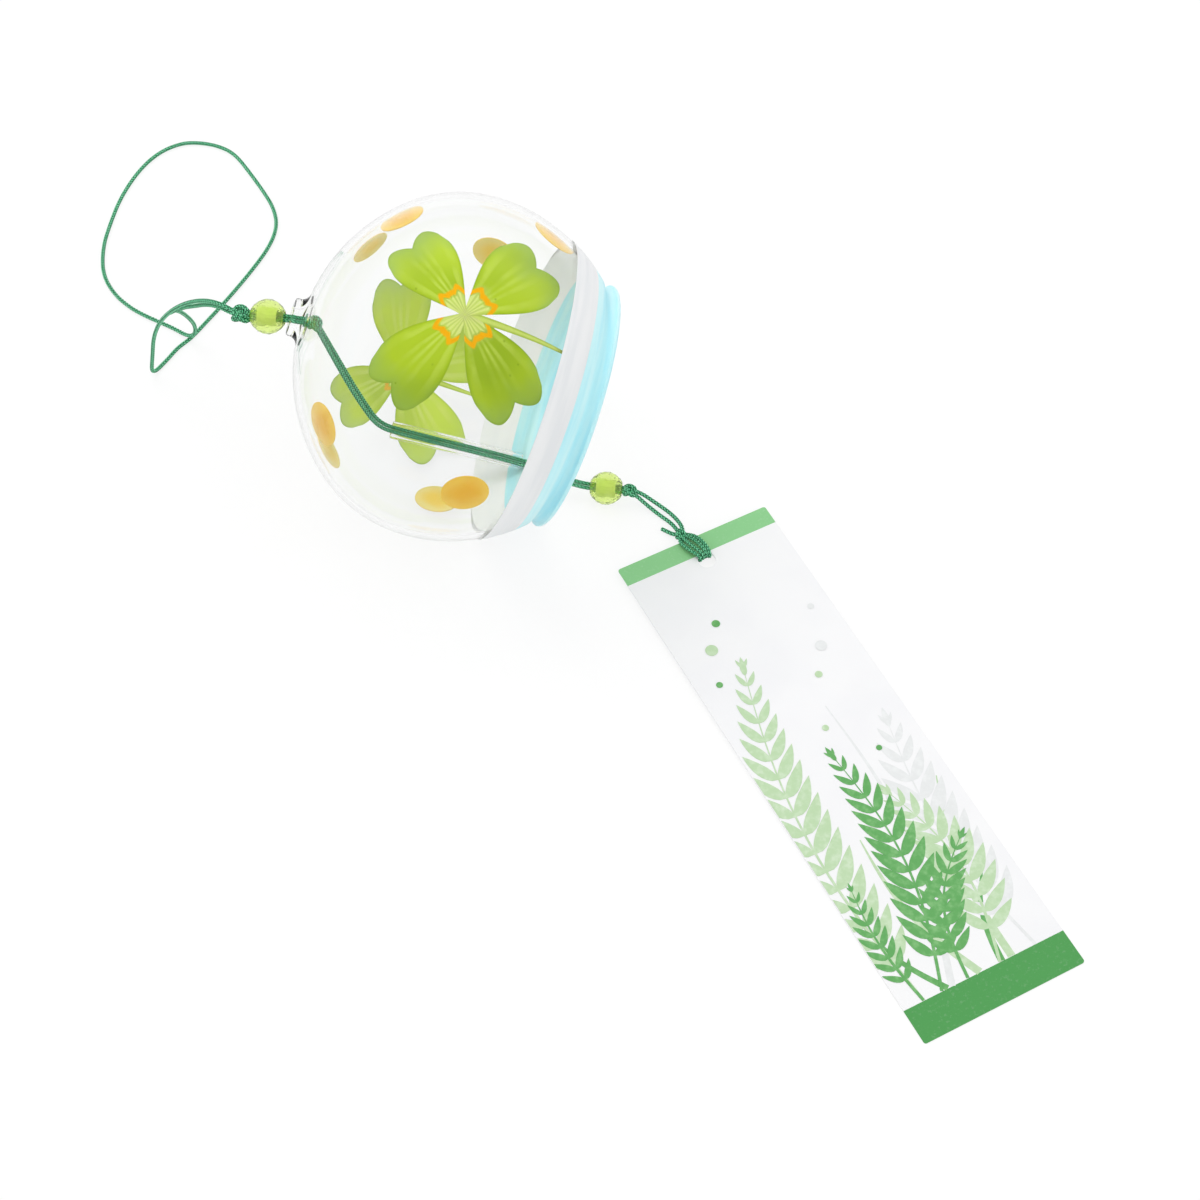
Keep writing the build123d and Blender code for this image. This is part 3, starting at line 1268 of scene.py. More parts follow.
    def clover(self, place: CloverPlace) -> bpy.types.Object:
        """One four-leaf clover with its stem.

        Args:
            place: Where it lies and how it is drawn.

        Returns:
            The piece.
        """
        heart = self.shape.direction(place.turn, place.polar)
        bm = bmesh.new()
        leaves = zip(place.leaf_turns, self.leaf_scales, self.leaf_widths)
        for coat, (turn, scale, width) in enumerate(leaves):
            layout = partial(self.leaf_point, turn + place.twist, scale, width)
            self.patch(bm, heart, self.leaf_grid, layout, 0, coat)
        stem = partial(self.stem_point, place.twist, place.stem_share)
        self.patch(bm, heart, self.stem_grid, stem, 2, len(place.leaf_turns))
        settle_faces(bm)
        return seat(make_piece(place.name, bm, self.clover_finishes()), "bell", None)

    def spots(self) -> bpy.types.Object:
        """All the gold spots.

        Returns:
            The piece.
        """
        bm = bmesh.new()
        for place in self.spot_places:
            heart = self.shape.direction(*place)
            self.patch(bm, heart, self.spot_grid, partial(disc_point, self.spot_radius), 0)
        settle_faces(bm)
        # The faces seen from inside the bell take a paler, brighter copy of the amber: painted light that
        # makes up for the light lost there.
        finishes = [
            SpotEnamel("spot_enamel", srgb(242, 188, 50), srgb(250, 208, 84)),
            SpotEnamel("spot_enamel_back_brightened", srgb(255, 214, 100), srgb(255, 228, 148)),
        ]
        return seat(make_piece("gold_spots", bm, finishes), "bell", None)

    def build(self) -> list[bpy.types.Object]:
        """Both clovers and the spots."""
        return [self.clover(place) for place in self.clover_places] + [self.spots()]


@dataclass
class PaintedBands:
    """The white and the blue band in enamel about the bell's mouth, on both faces of the glass."""

    shape: BellShape
    gap: float = 0.04
    thickness: float = 0.12
    white_start: float = 17.6
    white_end: float = 24.1
    inner_lag: float = 1.2
    inner_lead: float = 1.1
    brush_side: float = math.radians(40.0)
    turn_steps: int = 144
    arc_steps: int = 8

    def polar(self, depth: float, inset: float) -> float:
        """Polar angle of the wall at a depth towards the mouth."""
        return math.acos(-depth / (self.shape.globe_radius - inset))

    def coat(self, line: list[Vector]) -> bmesh.types.BMesh:
        """A coat of even thickness along a line of the glass.

        Args:
            line: The line, towards the mouth on the inner face or from it on the outer one.

        Returns:
            The coat, all round the bell.
        """
        shape = self.shape
        ways = [(after - before).normalized() for before, after in zip(line[:-1], line[1:])]
        away = [Vector((way.y, -way.x)) for way in ways + ways[-1:]]
        under = [point + way * self.gap for point, way in zip(line, away)]
        over = [point + way * (self.gap + self.thickness) for point, way in zip(line, away)]
        return turned_about(under + over[::-1], shape.place, shape.centre, shape.axis, self.turn_steps)

    def cut_askew(self, coat: bmesh.types.BMesh) -> None:
        """Cut the inner white coat's free edge a little askew, as the brush left it.

        Args:
            coat: The coat, which starts further from the mouth than it is to end up.
        """
        shape = self.shape
        middle = self.white_start + (self.inner_lag - self.inner_lead) / 2
        ring = math.sqrt((shape.globe_radius - shape.wall) ** 2 - middle**2)
        lean = math.atan((self.inner_lag + self.inner_lead) / 2 / ring)
        side = Matrix.Rotation(self.brush_side, 3, shape.axis) @ shape.upright
        cut = bmesh.ops.bisect_plane(
            coat,
            geom=coat.verts[:] + coat.edges[:] + coat.faces[:],
            dist=MERGE_REACH,
            plane_co=shape.centre + shape.axis * middle,
            plane_no=shape.axis * math.cos(lean) - side * math.sin(lean),
            clear_inner=True,
        )
        rims = [item for item in cut["geom_cut"] if isinstance(item, bmesh.types.BMEdge)]
        bmesh.ops.bridge_loops(coat, edges=rims)

    def band(
        self, name: str, coats: Iterable[bmesh.types.BMesh], finishes: Sequence[Finish]
    ) -> bpy.types.Object:
        """One band of several coats.

        Args:
            name: The piece's name.
            coats: Its coats; they are freed.
            finishes: Finish of its faces, and a brighter copy, painted light, for those that face the
                bell's axis.

        Returns:
            The piece.
        """
        shape = self.shape
        bm = bmesh.new()
        for coat in coats:
            part = bpy.data.meshes.new(name)
            coat.to_mesh(part)
            coat.free()
            bm.from_mesh(part)
            bpy.data.meshes.remove(part)
        settle_faces(bm)
        # Faces that look towards the bell's axis take the brighter copy: painted light for paint seen
        # from inside the bell.
        for face in bm.faces:
            out = face.calc_center_median() - shape.centre
            out -= shape.axis * out.dot(shape.axis)
            face.material_index = int(face.normal.dot(out) < 0)
        return seat(make_piece(name, bm, finishes), "bell", None)

    def build(self) -> list[bpy.types.Object]:
        """The white band, then the blue one, whose coat goes on round the lip.

        Returns:
            Both pieces.
        """
        shape = self.shape
        axis = tuple(shape.axis)
        depths = (self.white_start, self.white_end, shape.globe_end_depth)
        start = self.polar(self.white_start - 2 * self.inner_lead, shape.wall)
        middle, end = (self.polar(depth, shape.wall) for depth in depths[1:])
        outer_start, outer_middle, outer_end = (self.polar(depth, 0.0) for depth in depths)
        inner_white = self.coat(shape.wall_line(start, middle, shape.wall, self.arc_steps))
        self.cut_askew(inner_white)
        outer_white = self.coat(shape.wall_line(outer_middle, outer_start, 0.0, self.arc_steps))
        throat, lip, inner_throat = shape.mouth_lines(self.arc_steps)
        to_lip = shape.wall_line(middle, end, shape.wall, self.arc_steps)
        back_up = shape.wall_line(outer_end, outer_middle, 0.0, self.arc_steps)[1:]
        blue_line = to_lip + inner_throat[:0:-1] + lip[::-1] + throat[::-1] + back_up
        # Each band's second finish is a brighter copy for the faces seen from inside the bell: painted
        # light.
        white = (
            BandEnamel("white_enamel", srgb(236, 237, 238), srgb(228, 230, 232), axis),
            BandEnamel("white_enamel_inside_brightened", srgb(251, 251, 251), srgb(246, 247, 248), axis),
        )
        blue = (
            BandEnamel("blue_enamel", srgb(206, 245, 252), srgb(176, 234, 247), axis),
            BandEnamel("blue_enamel_inside_brightened", srgb(210, 247, 255), srgb(184, 239, 255), axis),
        )
        return [
            self.band("white_band", [inner_white, outer_white], white),
            self.band("blue_band", [self.coat(blue_line)], blue),
        ]


@dataclass
class FacetedBead:
    """A bored acrylic bead cut in rows of small facets, its bore along X."""

    name: str
    node: str
    centre: Vector
    radius: float = 4.0
    half_width: float = 3.8
    bore: float = 1.5
    sides: int = 14
    row_shares: tuple[Place, ...] = ((1.0, 0.44), (0.85, 0.64), (0.54, 0.88), (0.18, 1.0))
    frosted_share: float = 0.5

    @property
    def frosted_end(self) -> float:
        """How far from the middle the bore is frosted."""
        return self.half_width * self.frosted_share

    def section(self) -> list[Vector]:
        """Closed half section: the bore, then the rows of facets.

        Returns:
            Corners as radius and place along the bore.
        """
        rows = [Vector((self.radius * out, self.half_width * along)) for along, out in self.row_shares]
        top = [Vector((self.bore, height)) for height in (self.frosted_end, rows[0].y)] + rows
        return top + [Vector((point.x, -point.y)) for point in reversed(top)]

    def place(self, point: Vector) -> Vector:
        """A section's point in the part's frame."""
        return self.centre + Vector((point.y, 0.0, point.x))

    def build(self) -> bpy.types.Object:
        """Turn the stepped section, then stagger every second row so that its faces split into facets.

        Returns:
            The piece.
        """
        axis = Vector((1.0, 0.0, 0.0))
        bm = turned_about(self.section(), self.place, self.centre, axis, self.sides)
        heights = [self.half_width * along for along, _ in self.row_shares[1:]]
        stagger = Matrix.Rotation(math.pi / self.sides, 3, axis)
        for row in sorted(heights + [-height for height in heights])[::2]:
            ring = [corner for corner in bm.verts if abs(corner.co.x - self.centre.x - row) < SAME_PLACE]
            bmesh.ops.rotate(bm, cent=self.centre, matrix=stagger, verts=ring)
        bmesh.ops.triangulate(bm, faces=bm.faces)
        for face in bm.faces:
            reach = max((corner.co - self.centre).yz.length for corner in face.verts)
            depth = max(abs(corner.co.x - self.centre.x) for corner in face.verts)
            in_bore = reach < self.bore + SAME_PLACE
            face.material_index = int(in_bore and depth < self.frosted_end + SAME_PLACE)
        piece = make_piece(self.name, bm, [BeadAcrylic(), FrostedBore()], crease=0.0)
        return seat(piece, self.node, "bead", self.node)


@dataclass
class ClapperTube:
    """The clear tube on the inner cord, with fire-rounded ends."""

    start: Vector
    end: Vector
    length: float = 32.3
    setback: float = 1.26
    radius: float = 2.1
    bore: float = 1.4
    turn_steps: int = 48
    end_steps: int = 8
    finish: ClearGlass = ClearGlass("drawn_glass", wave_strength=0.05)

    def section(self) -> list[Vector]:
        """Closed section of the wall, with half-round ends.

        Returns:
            Corners as radius and place along the tube.
        """
        half = (self.radius - self.bore) / 2
        middle, high = self.bore + half, self.length - half
        near = [Vector(spot) for spot in ((self.bore, half), (middle, 0.0), (self.radius, half))]
        far = [Vector(spot) for spot in ((self.radius, high), (middle, self.length), (self.bore, high))]
        ends = [arc_points(*end, self.end_steps) + end[-1:] for end in (near, far)]
        return ends[0] + ends[1]

    def build(self) -> bpy.types.Object:
        """Turn the tube's wall about the cord's run.

        Returns:
            The piece.
        """
        along = (self.end - self.start).normalized()
        across = Vector((0.0, 1.0, 0.0))
        foot = self.end - along * self.setback

        def place(point: Vector) -> Vector:
            """A section's point in the part's frame."""
            return foot - along * point.y + across * point.x

        bm = turned_about(self.section(), place, foot, along, self.turn_steps)
        piece = make_piece("clapper_tube_glass", bm, [self.finish])
        return seat(piece, "clapper_tube", "tube_glass", "clapper_tube")


def new_curve(name: str) -> bpy.types.Curve:
    """An empty curve in space, with a place for each of the braid's finishes.

    Args:
        name: The curve's name.

    Returns:
        The curve.
    """
    curve = bpy.data.curves.new(name, "CURVE")
    curve.dimensions = "3D"
    for _ in Braid.finishes():
        curve.materials.append(None)
    return curve


def add_run(curve: bpy.types.Curve, kind: str, places: Iterable[Iterable[float]]) -> bpy.types.Spline:
    """Add a run through or near points to a curve.

    Args:
        curve: The curve.
        kind: The run's spline type.
        places: The run's points.

    Returns:
        The run.
    """
    places = list(places)
    run = curve.splines.new(kind)
    run.points.add(len(places) - 1)
    for point, place in zip(run.points, places):
        point.co = (*place, 1.0)
    return run


def curve_mesh(curve: bpy.types.Curve) -> bpy.types.Mesh:
    """The mesh of a curve, which is then removed.

    Args:
        curve: The curve.

    Returns:
        The mesh.
    """
    holder = bpy.data.objects.new(curve.name, curve)
    mesh = bpy.data.meshes.new_from_object(holder)
    bpy.data.objects.remove(holder)
    bpy.data.curves.remove(curve)
    return mesh


def smooth_line(name: str, route: Route, steps: int = 12) -> list[Vector]:
    """Points of the smooth line that a route's points steer.

    Args:
        name: Name for the working curve.
        route: Control points, in millimetres.
        steps: Steps from one control point to the next.

    Returns:
        The line's points, in millimetres.
    """
    curve = new_curve(name)
    curve.resolution_u = steps
    run = add_run(curve, "NURBS", route)
    run.order_u = 3
    run.use_endpoint_u = True
    mesh = curve_mesh(curve)
    line = [corner.co.copy() for corner in mesh.vertices]
    bpy.data.meshes.remove(mesh)
    return line


@dataclass(frozen=True)
class Braid:
    """A round braid: yarns that wind both ways over a core, in millimetres."""

    diameter: float = 1.1
    yarns: int = 4
    pitch: float = 3.5
    yarn_radius: float = 0.17
    weave: float = 0.05
    core_radius: float = 0.34
    steps_per_turn: int = 12

    @staticmethod
    def finishes() -> list[Finish]:
        """Finishes of the braid.

        Returns:
            Light yarn, dark yarn and core; the core is real, but its darker green is painted shade in the
            gaps between the yarns.
        """
        return [
            BraidFibre("braid_light", srgb(84, 196, 140), srgb(142, 232, 184)),
            BraidFibre("braid_dark", srgb(8, 84, 52), srgb(22, 112, 72)),
            # The core is real, but its tone, darker than any yarn, is painted shade where it shows
            # between the yarns.
            BraidFibre("braid_core_darkened_for_shade", srgb(8, 56, 34), srgb(14, 74, 46)),
        ]

    @staticmethod
    def spaced(line: Sequence[Vector], step: float) -> list[Vector]:
        """Points at even steps along a line.

        Args:
            line: Points of the line.
            step: Wanted distance between points.

        Returns:
            The spaced points, both ends included.
        """
        runs = [(after - before).length for before, after in zip(line, line[1:])]
        count = max(2, math.ceil(sum(runs) / step))
        stride = sum(runs) / count
        spaced, run, passed = [], 0, 0.0
        for place in range(count + 1):
            goal = min(place * stride, sum(runs))
            while run < len(runs) - 1 and passed + runs[run] < goal:
                passed += runs[run]
                run += 1
            spaced.append(line[run].lerp(line[run + 1], min(1.0, (goal - passed) / runs[run])))
        return spaced

    @staticmethod
    def frames(points: Sequence[Vector]) -> list[tuple[Vector, Vector]]:
        """Side directions along a line, turned no more than the line bends.

        Args:
            points: Points of the line.

        Returns:
            Two side directions at each point.
        """
        ways = [(after - before).normalized() for before, after in zip(points, points[1:])]
        ways.append(ways[-1])
        normal = ways[0].orthogonal().normalized()
        made = []
        for before, way in zip([ways[0], *ways], ways):
            normal = (before.rotation_difference(way) @ normal).normalized()
            made.append((normal, way.cross(normal)))
        return made

    @staticmethod
    def rounded(curve: bpy.types.Curve, radius: float) -> bpy.types.Curve:
        """Make a curve's runs round and close their ends.

        Args:
            curve: The curve.
            radius: The runs' radius.

        Returns:
            The curve.
        """
        curve.bevel_depth = radius
        curve.bevel_resolution = 1
        curve.use_fill_caps = True
        return curve

    def model(self, name: str, lines: Iterable[Sequence[Vector]]) -> bmesh.types.BMesh:
        """Braid along one or more lines.

        Args:
            name: Name for the working curves.
            lines: Middle lines of the cord, in millimetres.

        Returns:
            Yarns and cores as one model.
        """
        base = self.diameter / 2 - self.yarn_radius - self.weave
        curve = self.rounded(new_curve(name), self.yarn_radius)
        core = self.rounded(new_curve(name + "_core"), self.core_radius)
        for line in lines:
            points = self.spaced(line, self.pitch / self.steps_per_turn)
            frames = self.frames(points)
            stride = (points[1] - points[0]).length
            add_run(core, "POLY", points).material_index = 2
            for yarn, (hand, tone) in product(range(self.yarns), ((1, 0), (-1, 1))):
                places = []
                for step, (point, (first, second)) in enumerate(zip(points, frames)):
                    angle = FULL_TURN * (yarn / self.yarns + hand * step * stride / self.pitch)
                    reach = base + hand * self.weave * math.cos(self.yarns * angle)
                    places.append(point + (first * math.cos(angle) + second * math.sin(angle)) * reach)
                add_run(curve, "POLY", places).material_index = tone
        bm = bmesh.new()
        for part in (curve, core):
            mesh = curve_mesh(part)
            bm.from_mesh(mesh)
            bpy.data.meshes.remove(mesh)
        return bm

    def piece(
        self, name: str, node: str, body: str, lines: Iterable[Sequence[Vector]]
    ) -> bpy.types.Object:
        """Braid a piece of cord in place of a CAD node."""
        made = make_piece(name, self.model(name, lines), self.finishes(), crease=math.pi)
        return seat(made, body, "cord", node)


@dataclass
class CordStretch:
    """One stretch of the braided cord along a route."""

    name: str
    node: str
    body: str
    route: Route
    twin: Route = ()
    braid: Braid = Braid()
    line: list[Vector] = field(default_factory=list)

    def build(self) -> bpy.types.Object:
        """Braid the stretch along its smooth line, and along its twin's where it runs double.

        Returns:
            The piece.
        """
        lines = [smooth_line(self.name + "_line", route) for route in (self.route, self.twin) if route]
        self.line = lines[0]
        return self.braid.piece(self.name, self.node, self.body, lines)

    @property
    def length(self) -> float:
        """Length of the smooth line, in metres."""
        return sum((after - before).length for before, after in zip(self.line, self.line[1:])) * MM

    def declare(self, piece: bpy.types.Object, far_end: str, with_pieces: list[bpy.types.Object]) -> None:
        """Log the built stretch's length.

        Args:
            piece: The stretch's piece.
            far_end: Not used.
            with_pieces: Not used.
        """
        path = [tuple(point * MM) for point in self.line]
        self.length
        self.braid.diameter * MM
        log.info("%s is %.1f mm of cord", piece.name, self.length / MM)


@dataclass
class CordKnot:
    """A tight knot: the braid wound round and through its own middle."""

    name: str
    node: str
    body: str
    centre: Vector
    diameter: float
    along: Vector
    depth_share: float = 0.8
    steps: int = 90
    rounds: int = 2
    passes: int = 3
    waist_share: float = 0.55
    heart_share: float = 0.5
    braid: Braid = Braid()

    def winding(self, reach: float) -> list[Vector]:
        """A closed winding that goes round the knot's middle and through it.

        Args:
            reach: How far the winding goes out, in millimetres.

        Returns:
            Its points.
        """
        across = self.along.orthogonal().normalized()
        beside = self.along.cross(across)
        line = []
        for step in range(self.steps + 1):
            turn = FULL_TURN * step / self.steps
            through, about = self.passes * turn, self.rounds * turn
            out = reach * (1 + self.waist_share * math.cos(through)) / (1 + self.waist_share)
            rise = reach * self.depth_share * math.sin(through)
            spoke = across * math.cos(about) + beside * math.sin(about)
            line.append(self.centre + spoke * out + self.along * rise)
        return line

    def build(self) -> bpy.types.Object:
        """Braid an outer winding over an inner one.

        Returns:
            The piece.
        """
        reach = self.diameter / 2 - self.braid.diameter / 2
        lines = [self.winding(reach), self.winding(reach * self.heart_share)]
        return self.braid.piece(self.name, self.node, self.body, lines)


@dataclass
class Cordage:
    """The whole cord: loop, knots, doubled run through the bell, tail and tie."""

    strip: "PaperStrip"
    bell: BellShape
    strand_spacing: float = 1.2
    inner_spread: tuple[float, ...] = (1.0, 1.15, 1.5, 1.5, 1.35, 1.2, 1.1)
    loop_route: Route = (
        (-100.6, 48.7, 52.25), (-102.3, 49.2, 52.3), (-105.4, 50.5, 52.9), (-109.8, 52.9, 51.0),
        (-115.6, 56.8, 45.2), (-121.6, 61.5, 36.6), (-127.2, 66.2, 26.4), (-131.0, 69.5, 16.6),
        (-132.8, 70.7, 8.4), (-134.3, 70.2, 0.6), (-131.1, 76.6, 0.6), (-130.2, 78.9, 0.6),
        (-128.9, 81.1, 0.6), (-127.0, 83.5, 0.6), (-124.4, 89.0, 0.6), (-120.6, 97.1, 0.6),
        (-116.4, 107.3, 0.6), (-113.2, 116.6, 0.6), (-112.5, 124.2, 0.6), (-114.7, 130.6, 0.6),
        (-118.6, 136.3, 0.6), (-123.6, 142.8, 0.6), (-128.9, 149.2, 0.6), (-133.8, 151.6, 0.6),
        (-138.9, 152.3, 0.6), (-143.9, 151.7, 0.6), (-149.3, 147.6, 0.6), (-153.2, 140.4, 0.6),
        (-155.8, 130.0, 0.6), (-156.4, 120.0, 0.6), (-156.4, 112.0, 0.6), (-154.4, 102.8, 0.6),
        (-150.0, 96.3, 0.6), (-144.7, 92.0, 0.6), (-140.0, 89.6, 0.6), (-135.6, 87.8, 0.6),
        (-131.8, 86.2, 0.6), (-129.0, 84.5, 0.85), (-126.9, 83.0, 2.1), (-125.4, 82.5, 3.5),
        (-124.6, 81.8, 6.4), (-124.1, 80.1, 10.5), (-123.8, 77.0, 16.0), (-123.5, 73.2, 22.0),
        (-123.7, 70.3, 26.3), (-123.7, 66.9, 30.0), (-123.8, 64.8, 31.4), (-122.2, 63.5, 33.8),
        (-118.0, 59.9, 39.7), (-113.8, 56.3, 44.7), (-110.1, 53.9, 48.4), (-106.4, 51.8, 50.4),
        (-102.9, 49.4, 51.2), (-100.6, 48.3, 52.15),
    )
    neck_route: Route = (
        (-99.6, 48.5, 52.2), (-97.9, 48.5, 52.2), (-89.6, 48.5, 52.2), (-85.3, 48.5, 51.65),
        (-83.4, 48.5, 50.95),
    )
    inner_route: Route = (
        (-83.0, 48.5, 49.9), (-82.4, 48.5, 47.75), (-79.6, 48.5, 38.0), (-76.2, 48.5, 27.0),
        (-74.1, 48.5, 21.3), (-72.8, 48.5, 18.2), (-71.0, 48.5, 16.1), (-68.6, 48.5, 14.86),
        (-36.5, 48.5, 6.5), (-29.5, 47.0, 4.95), (-23.5, 45.15, 4.05), (-12.95, 45.0, 4.0),
        (-11.6, 45.0, 3.85),
    )
    long_tail_route: Route = (
        (-10.9, 45.15, 3.75), (-9.3, 45.45, 3.5), (-5.2, 44.2, 1.4), (-1.2, 41.9, 0.75),
        (1.4, 39.3, 0.7), (2.55, 36.6, 1.2), (2.1, 35.3, 1.5),
    )
    short_tail_route: Route = (
        (-10.9, 44.8, 3.6), (-9.4, 44.2, 3.1), (-7.1, 43.1, 1.6), (-3.6, 40.9, 0.7),
        (-0.5, 38.8, 0.7), (1.2, 36.35, 1.2), (1.8, 35.3, 1.5),
    )
    cut_end_route: Route = (
        (-2.7, 36.9, 0.65), (-1.2, 36.2, 0.65), (0.3, 35.2, 1.1), (1.5, 35.0, 1.5),
    )
    left_turn_route: Route = (
        (17.8, -1.6, 1.8), (16.8, -0.5, 2.1), (16.7, 1.2, 2.55), (17.4, 3.6, 2.8),
        (18.2, 5.4, 2.85), (18.75, 6.5, 2.3), (18.8, 6.55, 1.0), (18.5, 5.4, 0.6), (17.9, 3.0, 0.6),
        (17.5, 0.6, 0.6), (17.9, -1.3, 1.0),
    )
    left_twin_route: Route = (
        (18.0, -1.5, 2.1), (17.7, -0.2, 2.7), (17.9, 1.2, 3.0), (18.6, 3.6, 3.15),
        (19.2, 5.2, 3.15), (19.6, 6.25, 2.5), (19.65, 6.3, 1.0), (19.5, 5.2, 0.6), (19.0, 3.0, 0.6),
        (18.6, 0.6, 0.6), (18.1, -1.3, 1.2),
    )
    right_turn_route: Route = (
        (18.6, -1.7, 1.9), (19.9, -0.6, 2.4), (20.9, 1.2, 2.7), (21.35, 3.4, 2.85),
        (21.4, 5.3, 2.85), (21.25, 6.5, 2.3), (21.25, 6.55, 1.0), (21.1, 5.4, 0.6),
        (20.9, 3.0, 0.6), (20.3, 0.6, 0.6), (18.7, -1.3, 1.0),
    )
    right_twin_route: Route = (
        (18.3, -1.5, 2.1), (18.9, -0.3, 2.7), (19.5, 1.0, 3.0), (20.1, 3.0, 3.15),
        (20.4, 5.0, 3.15), (20.4, 6.2, 2.5), (20.45, 6.25, 1.0), (20.4, 5.2, 0.6), (20.0, 3.0, 0.6),
        (19.5, 0.6, 0.6), (18.5, -1.3, 1.2),
    )
    tube_run_start: int = 7
    tie_braid: Braid = Braid(diameter=0.96, yarn_radius=0.15, core_radius=0.29, pitch=3.2)
    top_knot_at: Vector = Vector((-100.5, 48.5, 52.2))
    lower_knot_at: Vector = Vector((-11.2, 45.0, 3.8))
    tie_knot_at: Vector = Vector((2.0, 34.9, 1.7))
    neck_knot_height: float = 32.2
    upper_bead_at: Vector = Vector((-94.3, 48.5, 52.2))
    lower_bead_at: Vector = Vector((-16.9, 45.05, 4.0))
    knot_bodies: tuple[tuple[str, str], ...] = (
        ("top_knot", "hanger"), ("neck_knot", "neck_cord"),
        ("lower_knot", "clapper_cord"), ("tie_knot", "tail_cord"),
    )
    knot_diameters: tuple[float, ...] = (4.7, 4.0, 3.6, 3.2)
    knot_depths: tuple[float, ...] = (1.0, 0.8, 1.05, 0.8)

    @property
    def tube_run(self) -> tuple[Vector, Vector]:
        """The straight run of the inner cord that carries the tube."""
        start = self.tube_run_start
        return Vector(self.inner_route[start]), Vector(self.inner_route[start + 1])

    def beside(self, route: Route, side: int, spread: Sequence[float] = ()) -> Route:
        """A route moved half a strand's spacing sideways, and more where the strands spread.

        Args:
            route: Middle route of the pair.
            side: 1 for the far strand, -1 for the near one.
            spread: How many times as far apart the strands are at the first points.

        Returns:
            The strand's route.
        """
        shares = [*spread, *[1.0] * (len(route) - len(spread))]
        half = side * self.strand_spacing / 2
        return [(x, y + half * share, z) for (x, y, z), share in zip(route, shares)]

    def from_corner(self, route: Route) -> Route:
        """A tie route, taken from the strip's corner to the part's frame."""
        level = [self.strip.corner + self.strip.across * a + self.strip.along * b for a, b, _ in route]
        return [(point.x, point.y, up) for point, (_, _, up) in zip(level, route)]

    def pairs(self) -> list[CordStretch]:
        """The doubled stretches through the neck and through the bell.

        Returns:
            Neck and inner strand of the far side, then of the near side.
        """
        made = []
        for side, word in ((1, "far"), (-1, "near")):
            neck = self.beside(self.neck_route, side)
            inner = self.beside(self.inner_route, side, self.inner_spread)
            made.append(CordStretch(f"neck_braid_{word}", f"neck_strand_{word}", "neck_cord", neck))
            made.append(CordStretch(f"inner_braid_{word}", f"inner_strand_{word}", "clapper_cord", inner))
        return made

    def turn(self, word: str, first: Route, second: Route) -> CordStretch:
        """One doubled turn of the tie, through the strip's hole and round its end."""
        routes = self.from_corner(first), self.from_corner(second)
        return CordStretch(f"tie_braid_{word}", f"tie_turn_{word}", "strip", *routes, self.tie_braid)

    def tail(self) -> list[CordStretch]:
        """The stretches below the lower knot.

        Returns:
            Both tail strands, the cut end and the two turns of the tie.
        """
        return [
            CordStretch("tail_braid_long", "tail_strand_long", "tail_cord", self.long_tail_route),
            CordStretch("tail_braid_short", "tail_strand_short", "tail_cord", self.short_tail_route),
            CordStretch("cut_end_braid", "tie_tail", "tail_cord", self.cut_end_route),
            self.turn("left", self.left_turn_route, self.left_twin_route),
            self.turn("right", self.right_turn_route, self.right_twin_route),
        ]

    def knots(self) -> list[CordKnot]:
        """The four knots.

        Returns:
            The knots, from the loop down.
        """
        level = Vector((1.0, 0.0, 0.0))
        neck_at = self.bell.centre - self.bell.axis * self.neck_knot_height
        places = (self.top_knot_at, neck_at, self.lower_knot_at, self.tie_knot_at)
        ways = (level, self.bell.axis, level, level)
        rows = zip(self.knot_bodies, places, self.knot_diameters, ways, self.knot_depths)
        return [CordKnot(f"{node}_braid", node, body, *sizes) for (node, body), *sizes in rows]

    def build(self) -> None:
        loop = CordStretch("loop_braid", "hanging_loop", "hanger", self.loop_route)
        loop_piece = loop.build()
        knots = [knot.build() for knot in self.knots()]
        pairs = self.pairs()
        pair_pieces = [stretch.build() for stretch in pairs]
        tail_pieces = [stretch.build() for stretch in self.tail()]
        neck_far, inner_far, neck_near, inner_near = pair_pieces
        loop.declare(loop_piece, "object", [knots[0], neck_far, neck_near, knots[1]])
        pairs[1].declare(inner_far, "knot", [knots[2], *tail_pieces, knots[3]])
        pairs[3].declare(inner_near, "knot", [])


class InkTone(Enum):
    """Tones of the strip's print, by material place."""

    GHOST = 0
    PALE = 1
    FULL = 2


@dataclass(frozen=True)
class Frond:
    """One printed fern frond: root and tip, across and along the strip from its corner."""

    root: Place
    tip: Place
    bow: float
    pairs: int
    leaf: float
    tone: InkTone


@dataclass(frozen=True)
class Blade:
    """One printed blade of grass."""

    root: Place
    tip: Place
    bow: float
    half_width: float
    tone: InkTone


@dataclass(frozen=True)
class Dot:
    """One printed round dot."""

    middle: Place
    radius: float
    tone: InkTone

    def point(self, across: float, along: float) -> Place:
        """Place of a dot's point on the card."""
        x, y = disc_point(self.radius, across, along)
        return self.middle[0] + x, self.middle[1] + y


